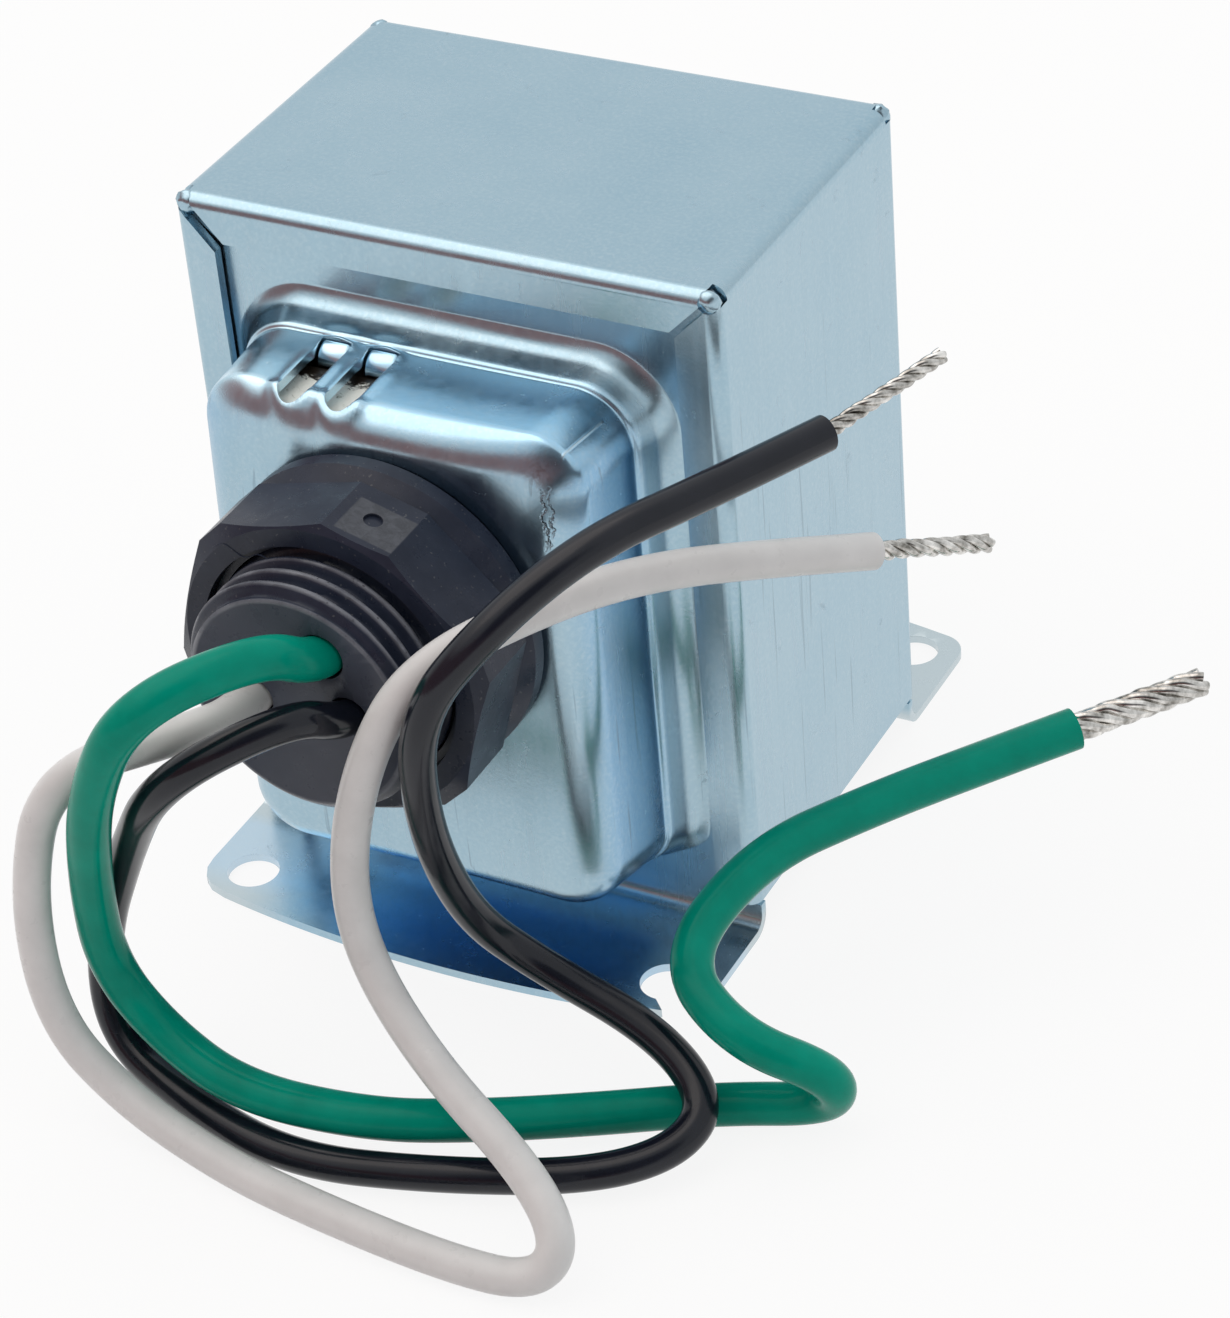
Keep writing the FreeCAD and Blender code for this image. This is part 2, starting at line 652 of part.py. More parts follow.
white_route = lead_start(white_at) + [
    (-6.0, -51.5, 37.5), (-17.0, -56.0, 33.5), (-20.5, -57.0, 21.0), (-19.0, -58.5, 9.5),
    (-12.5, -59.0, 3.5), (-2.5, -61.0, 1.6), (7.0, -63.0, 2.0), (20.0, -64.0, 1.6), (27.5, -63.5, 1.6),
    (29.5, -61.5, 4.5), (25.0, -58.0, 7.5), (14.0, -53.5, 11.5), (6.0, -49.0, 16.5), (5.0, -48.5, 25.0),
    (8.0, -48.5, 36.5), (12.0, -46.0, 44.5), (19.0, -38.0, 47.0), (24.0, -29.5, 46.0),
    (30.0, -20.5, 43.0), (35.0, -12.0, 39.5),
]


def make_bare_end(points, radius, length):
    """Twisted strands past the end of the insulation."""
    run = points[-1] - points[-2]
    way = run / run.Length
    end = points[-1] + way * length
    rod = cylinder(radius, points[-1], end)
    rim = [e for e in rod.Edges if e.Closed and (e.CenterOfMass - end).Length < 0.1]
    return rod.makeChamfer(radius * 0.35, rim)


def make_primary_tails():
    """The primary's own wire, from the winding to the two crimps in the hub."""
    open_side = (collar_seat - hub_collar + winding_reach) / 2
    tails = []
    for (x, z), across in ((black_at, -7.5), (white_at, -3.0)):
        at = hub_z + z
        foot = at - tail_drop
        route = route_frame([
            (x, -crimp_end, at), (x, -open_side - 0.7, at),
            (x + across * 0.6, -open_side, at - 2 * tail_drop / 3),
            (x + across, -open_side, foot), (x + across, -winding_reach, foot),
        ])
        tails.append(tube(route, magnet_wire_radius, "primary tail"))
    return Part.makeCompound(tails)


# Terminals on the rear side, modelled in front and turned round

board_outer = pan_front - plate
board_inner = board_outer - board
nut_inner = board_inner - terminal_nut
screw_seat = board_outer + terminal_plate
terminal_xs = (-terminal_spacing / 2, terminal_spacing / 2)


def make_board():
    solid = box(-board_half_width, board_half_width, -board_outer, -board_inner, hub_z - board_height / 2,
                hub_z + board_height / 2)
    upright = [e for e in solid.Edges if abs(e.BoundBox.YLength - board) < 1e-3]
    solid = solid.makeFillet(1.5, upright)
    for x, radius in [(x, terminal_screw_radius) for x in terminal_xs] + [(-rivet_offset, rivet_radius),
                                                                        (rivet_offset, rivet_radius)]:
        solid = solid.cut(cylinder(radius, V(x, -board_outer - 1, hub_z), V(x, 1 - board_inner, hub_z)))
    return turned(solid)


def make_terminal_plates():
    plates = []
    for x in terminal_xs:
        half = terminal_plate_width / 2
        solid = box(x - half, x + half, -screw_seat, -board_outer, hub_z - terminal_plate_height / 2,
                    hub_z + terminal_plate_height / 2)
        upright = [e for e in solid.Edges if abs(e.BoundBox.YLength - terminal_plate) < 1e-3]
        solid = solid.makeFillet(1.0, upright)
        plates.append(solid.cut(cylinder(terminal_screw_radius, V(x, -screw_seat - 1, hub_z),
                                         V(x, 1 - board_outer, hub_z))))
    return turned(Part.makeCompound(plates))


def make_terminal_screws():
    """Binding screws with round slotted heads."""
    screws = []
    for x in terminal_xs:
        top = screw_seat + terminal_head
        shank = cylinder(terminal_screw_radius, V(x, -screw_seat, hub_z), V(x, -nut_inner + 0.3, hub_z))
        head = cylinder(terminal_head_radius, V(x, -screw_seat, hub_z), V(x, -top, hub_z))
        head = head.makeFillet(terminal_head * 0.5, [e for e in edges_at(head, -top) if e.Closed])
        across = 2 * terminal_head_radius
        slot = box(x - across, x + across, -top - 1, 0.55 * terminal_head - top, hub_z - terminal_slot / 2,
                   hub_z + terminal_slot / 2)
        screws.append(shank.fuse(head).cut(slot).removeSplitter())
    return turned(Part.makeCompound(screws))


def make_terminal_nuts():
    nuts = []
    for x in terminal_xs:
        bar = hexagon(terminal_nut_flats, nut_inner, board_inner, 0)
        bar.translate(V(x, 0, 0))
        bore = cylinder(terminal_screw_radius, V(x, -board_inner - 1, hub_z), V(x, 1 - nut_inner, hub_z))
        nuts.append(bar.cut(bore))
    return turned(Part.makeCompound(nuts))


def make_rivets():
    """Two rivets that hold the terminal board in the rear pan."""
    rivets = []
    for x in (-rivet_offset, rivet_offset):
        shank = cylinder(rivet_radius, V(x, -pan_front, hub_z), V(x, -board_inner, hub_z))
        outer = cylinder(rivet_head_radius, V(x, -pan_front, hub_z), V(x, -pan_front - rivet_head, hub_z))
        rim = [e for e in edges_at(outer, -pan_front - rivet_head) if e.Closed]
        outer = outer.makeFillet(rivet_head * 0.6, rim)
        inner = cylinder(rivet_head_radius, V(x, -board_inner, hub_z), V(x, rivet_head - board_inner, hub_z))
        rivets.append(shank.fuse([outer, inner]).removeSplitter())
    return turned(Part.makeCompound(rivets))


def make_secondary_tails():
    """The secondary's wire, from the winding to a seat beside each terminal nut."""
    side = terminal_nut_flats / 2 + magnet_wire_radius + tail_gap
    open_side = (board_inner + winding_reach) / 2
    tails = []
    for x, start_x in ((terminal_xs[1], winding_span(1)[1] - 2), (terminal_xs[0], winding_span(1)[0] + 1.5)):
        z = hub_z - side
        route = route_frame([(start_x, winding_reach, z - tail_drop), (start_x, open_side, z - tail_drop),
                             (x, open_side, z - tail_drop / 3), (x, open_side, z), (x, board_inner, z)])
        tails.append(tube(route, magnet_wire_radius, "secondary tail"))
    return Part.makeCompound(tails)


green_points, black_points, white_points = (route_frame(r) for r in (green_route, black_route, white_route))

nodes = {
    "steel_wrap": make_wrap(),
    "front_end_plate": make_front_plate(),
    "rear_end_plate": make_rear_plate(),
    "e_laminations": make_laminations("E"),
    "i_laminations": make_laminations("I"),
    "bobbin": make_bobbin(),
    "primary_winding": make_winding(-1),
    "secondary_winding": make_winding(1),
    "primary_tape": make_tape(-1),
    "secondary_tape": make_tape(1),
    "tape_pad": make_tape_pad(),
    "thermal_cutout": make_thermal_cutout(),
    "conduit_hub": make_hub(),
    "hex_locknut": make_nut(),
    "earth_lug": make_lug(),
    "green_crimp": make_crimp(green_at, crimp_radius, collar_seat - hub_collar),
    "black_crimp": make_crimp(black_at, crimp_radius, crimp_end),
    "white_crimp": make_crimp(white_at, crimp_radius, crimp_end),
    "primary_tails": make_primary_tails(),
    "green_lead": tube(green_points, green_radius, "green lead"),
    "black_lead": tube(black_points, black_radius, "black lead"),
    "white_lead": tube(white_points, white_radius, "white lead"),
    "green_bare_end": make_bare_end(green_points, bare_green_radius, bare_green_length),
    "black_bare_end": make_bare_end(black_points, bare_radius, bare_length),
    "white_bare_end": make_bare_end(white_points, bare_radius, bare_length),
    "terminal_board": make_board(),
    "terminal_plates": make_terminal_plates(),
    "terminal_screws": make_terminal_screws(),
    "terminal_nuts": make_terminal_nuts(),
    "board_rivets": make_rivets(),
    "secondary_tails": make_secondary_tails(),
}

os.makedirs("parts", exist_ok=True)
for name, shape in nodes.items():
    print(f"{name}: {len(shape.Solids)} solids, volume {shape.Volume:.1f}, valid {shape.isValid()}")
    shape.exportStep(f"parts/{name}.step")
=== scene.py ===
import json
import math
import bmesh
import bpy
from mathutils import Matrix, Vector, noise


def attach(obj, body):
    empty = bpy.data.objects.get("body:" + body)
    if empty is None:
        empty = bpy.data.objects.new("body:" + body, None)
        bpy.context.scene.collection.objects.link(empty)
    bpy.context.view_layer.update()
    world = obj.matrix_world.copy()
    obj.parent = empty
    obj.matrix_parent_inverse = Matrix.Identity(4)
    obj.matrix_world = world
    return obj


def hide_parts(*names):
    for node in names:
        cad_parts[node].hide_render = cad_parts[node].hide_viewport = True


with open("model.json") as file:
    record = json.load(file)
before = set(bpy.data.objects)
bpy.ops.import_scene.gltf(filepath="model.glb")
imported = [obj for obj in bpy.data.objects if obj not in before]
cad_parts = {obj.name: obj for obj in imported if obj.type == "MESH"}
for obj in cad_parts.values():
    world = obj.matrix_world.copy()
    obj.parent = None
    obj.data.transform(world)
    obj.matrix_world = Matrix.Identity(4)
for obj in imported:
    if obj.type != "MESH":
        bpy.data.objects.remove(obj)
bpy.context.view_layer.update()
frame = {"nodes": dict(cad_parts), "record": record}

# Doorbell transformer, in the model's own frame: +Z is up, and the hub is on the -Y side. Named sizes are in
# millimetres, a depth is counted forward from the core's middle, and the finished meshes are in metres.
MM = 0.001
nodes = frame["nodes"]
scene = bpy.context.scene

FORWARD, UP, RIGHT = (0, -1, 0), (0, 0, 1), (1, 0, 0)


def reach(node, way):
    """How far a CAD node reaches along one of the axes, in millimetres."""
    return round(max(Vector(corner).dot(Vector(way)) for corner in nodes[node].bound_box) / MM, 3)


# Sizes that the scene's own pieces share with the solids
mounts = {mount["name"]: mount for mount in frame["record"]["mounts"]}
foot_holes = mounts["foot_holes"]["dims"]
HOLE_X, HOLE_Y = foot_holes["spacing_x_mm"] / 2, foot_holes["spacing_y_mm"] / 2
HOLE_RADIUS = foot_holes["hole_r_mm"]
HUB_Z = round(mounts["hub_thread"]["pos_m"][2] / MM, 3)
HUB_END = reach("conduit_hub", FORWARD)
NUT_FRONT = reach("hex_locknut", FORWARD)
FACE_Y = reach("steel_wrap", FORWARD)                   # depth of the wrap's folded edges
FOOT_HALF = reach("front_end_plate", RIGHT)             # half the width of the foot
FLAT_Y = 16.15              # depth of the front plate's flat rim
PAN_FRONT = 29.65           # depth of the pan's front face
PLATE = 0.8                 # thickness of the front plate
HUB_RADIUS = 10.65          # over the thread's crests
RIM_RADIUS = 9.6            # of the hub's end face, inside the chamfer


def link(name, data):
    obj = bpy.data.objects.new(name, data)
    scene.collection.objects.link(obj)
    return obj


def evaluated(obj):
    """A plain mesh of an object with its modifiers."""
    return bpy.data.meshes.new_from_object(obj.evaluated_get(bpy.context.evaluated_depsgraph_get()))


def angles(start, end, steps):
    """Angles in radians from one to the other, both given in degrees and both included."""
    return [math.radians(start + (end - start) * k / steps) for k in range(steps + 1)]


def circle(count):
    """Angles of as many points on a full turn."""
    return angles(0, 360, count)[:-1]


def smooth(value, low, high):
    """0 up to the low value, 1 from the high one, with a soft rise between them."""
    t = min(max((value - low) / (high - low), 0.0), 1.0)
    return t * t * (3 - 2 * t)


def feed(tree, socket, value):
    """Links a socket to another one, or sets it to a plain value."""
    if isinstance(value, bpy.types.NodeSocket):
        tree.links.new(value, socket)
    else:
        socket.default_value = value


def add_node(tree, kind, props=None, **inputs):
    """A new node. An input is named with _ for each space, or by i and its number, such as i0."""
    node = tree.nodes.new(kind)
    for key, value in (props or {}).items():
        setattr(node, key, value)
    for key, value in inputs.items():
        numbered = key[0] == "i" and key[1:].isdigit()
        feed(tree, node.inputs[int(key[1:]) if numbered else key.replace("_", " ")], value)
    return node


# Camera
def make_camera():
    azimuth, elevation, roll = math.radians(29.96), math.radians(35.21), math.radians(-5.13)
    place = (0.15261, -0.25900, 0.22365)
    back = Vector((math.sin(azimuth) * math.cos(elevation), -math.cos(azimuth) * math.cos(elevation),
                   math.sin(elevation)))
    level = Vector((0, 0, 1)).cross(back).normalized()
    upright = back.cross(level)
    right = level * math.cos(roll) + upright * math.sin(roll)
    up = back.cross(right)
    data = bpy.data.cameras.new("camera")
    data.sensor_width, data.lens = 36.0, 111.7
    data.clip_start, data.clip_end = 0.01, 10
    camera = link("camera", data)
    camera.matrix_world = Matrix.Translation(place) @ Matrix((right, up, back)).transposed().to_4x4()
    scene.camera = camera


make_camera()


# Materials
class Graph:
    """A material's nodes. Masks go from 0 to 1, and distances and places are in millimetres."""

    def __init__(self, name):
        self.material = bpy.data.materials.new(name)
        self.material.use_nodes = True
        self.tree = self.material.node_tree
        self.tree.nodes.clear()
        self.out = self.tree.nodes.new("ShaderNodeOutputMaterial")
        self.coord = self.tree.nodes.new("ShaderNodeTexCoord").outputs["Object"]

    def add(self, kind, props=None, **inputs):
        return add_node(self.tree, "ShaderNode" + kind, props, **inputs)

    def noise(self, scale, detail, rough, stretch=(1, 1, 1), offset=(0, 0, 0), distortion=0.0):
        """Noise whose scale counts features in a millimetre."""
        where = self.add("Mapping", Vector=self.coord, Scale=[s * 1000 * scale for s in stretch],
                         Location=offset)
        return self.add("TexNoise", Vector=where.outputs[0], Scale=1.0, Detail=detail, Roughness=rough,
                        Distortion=distortion).outputs["Fac"]

    def spread(self, value, low, high, new_low=0.0, new_high=1.0):
        """A value between low and high, brought between the two new ones."""
        return self.add("MapRange", Value=value, From_Min=low, From_Max=high, To_Min=new_low,
                        To_Max=new_high).outputs[0]

    def levelled(self, noise_value, new_low=0.0, new_high=1.0):
        """Noise, which mostly stays between 0.3 and 0.7, brought between the two new values."""
        return self.spread(noise_value, 0.3, 0.7, new_low, new_high)

    def math(self, what, a, b=0.0):
        return self.add("Math", {"operation": what}, i0=a, i1=b).outputs[0]

    def times(self, first, *others):
        """The product of masks and numbers."""
        for other in others:
            first = self.math("MULTIPLY", first, other)
        return first

    def mix(self, share, a, b):
        """Colour a, covered by colour b where the share is 1."""
        a, b = ((*value, 1) if isinstance(value, tuple) else value for value in (a, b))
        return self.add("Mix", {"data_type": "RGBA"}, i0=share, i6=a, i7=b).outputs[2]

    def bump(self, height, distance, strength, after=None):
        inputs = {"Height": height, "Distance": distance * MM, "Strength": strength}
        if after is not None:
            inputs["Normal"] = after
        return self.add("Bump", **inputs).outputs[0]

    def along(self, way, start=(0, 0, 0)):
        """Distance along a direction, from a starting point."""
        offset = self.add("VectorMath", {"operation": "SUBTRACT"}, i0=self.coord, i1=Vector(start) * MM)
        return self.add("VectorMath", {"operation": "DOT_PRODUCT"}, i0=offset.outputs[0],
                        i1=Vector(way).normalized() * 1000).outputs["Value"]

    def spot(self, point, radius, soft):
        """1 within a radius of a point, down to 0 over the soft distance."""
        away = self.add("VectorMath", {"operation": "DISTANCE"}, i0=self.coord, i1=Vector(point) * MM)
        return self.spread(away.outputs["Value"], (radius + soft) * MM, radius * MM)

    def line(self, start, end, across, width, soft, wander=0.0):
        """A thin line on a surface: 1 on it, 0 away from it. Across points to one side of it, its ends fade
        over the soft distance, and it wanders from side to side by as much as wander says."""
        way = Vector(end) - Vector(start)
        side = self.along(across, start)
        if wander:
            side = self.math("ADD", side, self.levelled(self.noise(0.9, 3, 0.7), -wander, wander))
        near = self.spread(self.math("ABSOLUTE", side), width, 0.0)
        run = self.along(way, start)
        return self.times(near, self.spread(run, 0.0, soft), self.spread(run, way.length, way.length - soft))

    def shader(self, **inputs):
        node = self.add("BsdfPrincipled", **inputs)
        self.tree.links.new(node.outputs[0], self.out.inputs[0])
        return self.material


def stretch_marks(g, forward, height):
    """What drawing left at the pan's right upper corner: two thin splits down the face, a torn spot above
    them and a crease along the top wall, whose pale line is a painted highlight."""
    first = g.line((14.35, -28.9, 50.9), (15.0, -28.9, 45.2), (1, 0, 0.12), 0.16, 1.2, wander=0.35)
    second = g.line((15.0, -28.6, 51.2), (15.3, -28.6, 46.4), (1, 0, 0.06), 0.13, 1.2, wander=0.3)
    splits = g.times(g.math("MAXIMUM", first, second), g.spread(forward, 26.6, 27.4))
    torn = g.times(g.spot((14.5, -28.3, 52.0), 0.3, 1.7), g.spread(g.noise(2.0, 4, 0.7), 0.40, 0.62))
    crease_and_highlight = g.line((16.4, -21.2, 54.4), (15.7, -27.2, 54.2), (1, -0.11, 0), 0.13, 0.3)
    return splits, torn, g.times(crease_and_highlight, g.spread(height, 52.6, 53.2))


def zinc():
    """Bright plating: pale blue-grey, with fine grain and drawing lines. The pan's walls and the middle of
    the foot are painted bluer and darker, as painted shade where the metal mirrors other metal, and the
    foot's ears are painted paler, as painted light."""
    g = Graph("zinc plated steel")
    forward, height, sideways = g.along(FORWARD), g.along(UP), g.along(RIGHT)
    from_middle = g.math("ABSOLUTE", sideways)
    cloud = g.noise(0.07, 4, 0.6)
    colour = g.mix(g.levelled(cloud), (0.35, 0.505, 0.60), (0.40, 0.545, 0.63))

    # painted shade: the bluer parts, where the metal mirrors other metal: from the skirt to the pan's rounded
    # edge, and the middle of the foot
    shaded_pan_walls = g.times(g.spread(forward, 18.6, 20.2), g.spread(forward, 29.2, 26.4))
    foot = g.times(g.spread(height, 4.5, 1.5), g.spread(forward, 15.0, 17.5), g.spread(forward, 31.5, 28.0),
                   g.spread(from_middle, 18.5, 12.5))
    shade_blue_low = g.mix(g.spread(height, 6.0, 3.0), (0.26, 0.47, 0.68), (0.31, 0.62, 0.92))
    shade_blue_top = g.mix(g.spread(sideways, 2.0, -14.0), (0.44, 0.73, 0.96), (0.66, 0.88, 1.0))
    blue = g.mix(g.spread(height, 51.0, 53.6), shade_blue_low, shade_blue_top)
    colour = g.mix(g.times(g.math("MAXIMUM", shaded_pan_walls, foot), 0.85), colour, blue)
    # painted light: the foot's ears are made paler than the rest of the metal
    ears = g.times(g.spread(from_middle, 14.0, 20.0), g.spread(height, 2.5, 1.5))
    colour = g.mix(g.times(ears, 0.6), colour, (0.66, 0.70, 0.70))

    # grain and scuffs all over, and lines that the drawing pulled down the walls
    grain = g.spread(g.noise(2.6, 3, 0.65), 0.45, 0.8)
    colour = g.mix(g.times(grain, 0.3), colour, (0.60, 0.69, 0.73))
    scuffs = g.spread(g.noise(0.35, 6, 0.75, distortion=0.6), 0.63, 0.71)
    pulled = g.spread(g.noise(1.5, 2, 0.5, stretch=(1, 1, 0.035), offset=(3, 1, 2)), 0.66, 0.72)
    walls = g.times(g.spread(height, 53.5, 51.0), g.spread(height, 3.0, 5.0))
    marks = g.math("MAXIMUM", g.times(scuffs, 0.35), g.times(walls, pulled, 0.5))
    colour = g.mix(marks, colour, (0.22, 0.31, 0.37))
    splits, torn, crease_and_highlight = stretch_marks(g, forward, height)
    colour = g.mix(g.times(splits, 0.6), colour, (0.13, 0.13, 0.12))
    colour = g.mix(g.times(torn, 0.5), colour, (0.20, 0.19, 0.19))
    # painted highlight: a pale line along the crease, which also has a real bump
    colour = g.mix(g.times(crease_and_highlight, 0.5), colour, (0.75, 0.82, 0.84))

    drawn = g.noise(0.8, 3, 0.6, stretch=(1, 1, 0.05))
    rough = g.math("ADD", g.levelled(cloud, 0.20, 0.26), g.levelled(drawn, -0.02, 0.05))
    rough = g.math("ADD", rough, g.times(scuffs, 0.1))
    normal = None           # built up from broad dents to fine grain, and then the marks
    for height_map, distance, strength in (
        (g.noise(0.09, 2, 0.5), 0.06, 0.5), (g.noise(0.55, 3, 0.6), 0.006, 0.5),
        (g.noise(3.6, 3, 0.7), 0.008, 0.7), (crease_and_highlight, 0.05, 1.0), (splits, -0.05, 1.0),
    ):
        normal = g.bump(height_map, distance, strength, after=normal)
    return g.shader(Base_Color=colour, Metallic=1.0, Roughness=rough, Normal=normal)


def nylon():
    """Black moulded nylon: satin, with tiny pale specks, painted light on the hub's paler end face, painted
    highlights on the thread's crests and the rim, and a paler, rougher pad on the locknut."""
    g = Graph("black nylon")
    forward = g.along(FORWARD)
    cloud = g.noise(0.25, 4, 0.6)
    colour = g.mix(g.levelled(cloud), (0.014, 0.019, 0.036), (0.025, 0.032, 0.054))
    # painted light: the hub's end face is made paler
    painted_end_light = g.spread(forward, HUB_END - 0.3, HUB_END - 0.1)
    colour = g.mix(g.times(painted_end_light, 0.8), colour, (0.075, 0.086, 0.115))

    flat = g.add("VectorMath", {"operation": "MULTIPLY_ADD"}, i0=g.coord, i1=(1, 0, 1),
                 i2=(0, 0, -HUB_Z * MM))
    radius = g.add("VectorMath", {"operation": "LENGTH"}, i0=flat.outputs[0]).outputs["Value"]
    # painted highlight: pale lines on the thread's crests and on the end's rim
    crests = g.times(g.spread(radius, (HUB_RADIUS - 0.23) * MM, (HUB_RADIUS - 0.03) * MM),
                     g.spread(forward, NUT_FRONT + 0.15, NUT_FRONT + 0.35))
    rim = g.times(g.spread(radius, (RIM_RADIUS - 0.3) * MM, (RIM_RADIUS - 0.15) * MM),
                  g.spread(forward, HUB_END - 0.25, HUB_END - 0.1))
    painted_edge_highlight = g.times(g.math("MAXIMUM", crests, rim), g.spread(cloud, 0.35, 0.6, 0.35, 1.0))
    colour = g.mix(painted_edge_highlight, colour, (0.19, 0.20, 0.23))

    specks = g.spread(g.noise(3.0, 1, 0.4), 0.70, 0.75)
    colour = g.mix(specks, colour, (0.07, 0.075, 0.09))
    rubbed = g.spread(g.noise(0.5, 5, 0.75, distortion=0.8), 0.60, 0.72)
    colour = g.mix(g.times(rubbed, 0.35), colour, (0.045, 0.05, 0.065))

    pad_out, pad_across = (0.2756, 0, 0.9613), (0.9613, 0, -0.2756)
    from_side = g.math("ABSOLUTE", g.along(pad_across, (4.2, 0, 50.2)))
    from_centre = g.math("ABSOLUTE", g.along(FORWARD, (0, -36.7, 0)))
    pad = g.times(g.spread(g.along(pad_out, (3.749, -36.35, 50.298)), -0.09, -0.05),
                  g.spread(from_side, 2.65, 2.5), g.spread(from_centre, 2.25, 2.1))
    worn = g.spread(g.noise(1.1, 5, 0.7, distortion=0.5), 0.4, 0.62)
    colour = g.mix(pad, colour, g.mix(worn, (0.055, 0.06, 0.072), (0.085, 0.092, 0.11)))

    rough = g.math("ADD", g.levelled(g.noise(0.6, 3, 0.6), 0.24, 0.38), g.times(pad, 0.15))
    normal = g.bump(g.noise(1.6, 3, 0.6), 0.012, 0.6)
    return g.shader(Base_Color=colour, Metallic=0.0, Roughness=rough, Specular_IOR_Level=0.27, Normal=normal)


def folded_tape():
    """Pale yellow tape over the coil: crumpled under the slots' outer ends, with painted shade behind."""
    g = Graph("coil tape")
    crumple = g.noise(0.9, 4, 0.7, distortion=1.5)
    outward = g.along(FORWARD, (0, -23.0, 0))
    edge = g.math("ADD", outward, g.levelled(crumple, -0.9, 0.9))
    pale = g.mix(g.spread(crumple, 0.28, 0.40), (0.20, 0.17, 0.09), (1.0, 1.0, 0.92))
    # painted shade: near black behind the crumpled edge, for the dark inside of the slots
    colour = g.mix(g.spread(edge, -0.3, 0.3), (0.02, 0.014, 0.010), pale)
    normal = g.bump(crumple, 0.10, 0.8)
    return g.shader(Base_Color=colour, Metallic=0.0, Roughness=0.3, Normal=normal)


def plastic(name, low, high, rough, grain=2.0, relief=0.006, shine=0.5):
    """A plastic between two colours and between two values of roughness, with a soft grain."""
    g = Graph(name)
    colour = g.mix(g.levelled(g.noise(0.25, 4, 0.6)), low, high)
    roughness = g.levelled(g.noise(0.6, 3, 0.6), *rough)
    normal = g.bump(g.noise(grain, 3, 0.6), relief, 0.6)
    return g.shader(Base_Color=colour, Metallic=0.0, Roughness=roughness, Specular_IOR_Level=shine,
                    Normal=normal)


def insulation(colour, low, high, rough, shine):
    return plastic(f"{colour} insulation", low, high, rough, grain=0.8, relief=0.01, shine=shine)


def metal(name, low, high, rough=(0.2, 0.35), patches=0.8):
    """A metal between two colours, in as many patches to a millimetre."""
    g = Graph(name)
    colour = g.mix(g.levelled(g.noise(patches, 3, 0.6)), low, high)
    roughness = g.levelled(g.noise(1.5, 3, 0.6), *rough)
    normal = g.bump(g.noise(2.5, 2, 0.5), 0.004, 0.5)
    return g.shader(Base_Color=colour, Metallic=1.0, Roughness=roughness, Normal=normal)


materials = {
    "zinc_steel": zinc(),
    "silicon_steel": metal("silicon steel", (0.16, 0.16, 0.17), (0.26, 0.25, 0.25), (0.4, 0.6)),
    "bobbin_nylon": plastic("bobbin nylon", (0.70, 0.67, 0.58), (0.78, 0.75, 0.66), (0.4, 0.5)),
    "magnet_wire": metal("magnet wire", (0.42, 0.17, 0.07), (0.60, 0.28, 0.12), (0.2, 0.32)),
    "coil_tape": folded_tape(),
    "cutout_case": metal("cutout case", (0.60, 0.60, 0.62), (0.75, 0.75, 0.77)),
    "hub_nylon": nylon(),
    "brass": metal("brass", (0.60, 0.42, 0.16), (0.74, 0.56, 0.26)),
    "tinned_copper": metal("tinned copper", (0.20, 0.19, 0.17), (0.90, 0.88, 0.85), (0.08, 0.15),
                           patches=0.9),
    "green_pvc": insulation("green", (0.0, 0.245, 0.17), (0.0, 0.30, 0.21), (0.16, 0.24), shine=0.10),
    "black_pvc": insulation("black", (0.004, 0.006, 0.012), (0.009, 0.011, 0.019), (0.14, 0.22), shine=0.38),
    "white_pvc": insulation("white", (0.66, 0.66, 0.66), (0.73, 0.73, 0.73), (0.26, 0.36), shine=0.35),
    "phenolic_board": plastic("phenolic board", (0.20, 0.085, 0.03), (0.28, 0.13, 0.05), (0.35, 0.5)),
    "plated_screw": metal("plated screw", (0.60, 0.61, 0.62), (0.76, 0.76, 0.77)),
}
slots = {part["node"]: part["material_slot"] for part in frame["record"]["subparts"]}
for name, obj in nodes.items():
    obj.data.materials.clear()
    obj.data.materials.append(materials[slots[name]])


# Leads
def lead(name, points, radius):
    """Insulation on a smooth line that has the route's points as its control points."""
    data = bpy.data.curves.new(name, "CURVE")
    data.dimensions = "3D"
    spline = data.splines.new("NURBS")
    spline.points.add(len(points) - 1)
    for point, place in zip(spline.points, points):
        point.co = (*(c * MM for c in place), 1)
    spline.order_u = 3
    spline.use_endpoint_u = True
    spline.resolution_u = 14
    data.bevel_depth = radius * MM
    data.bevel_resolution = 10
    data.use_fill_caps = True
    obj = link(name, data)
    slot = name.replace("_wire", "_pvc")
    data.materials.append(materials[slot])
    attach(obj, "root")
    return obj


def centreline(obj):
    """Points along a lead's own line."""
    copy = obj.data.copy()
    copy.bevel_depth = 0
    bare = link("line", copy)
    mesh = evaluated(bare)
    line = [v.co.copy() for v in mesh.vertices]
    bpy.data.objects.remove(bare)
    bpy.data.curves.remove(copy)
    bpy.data.meshes.remove(mesh)
    return line


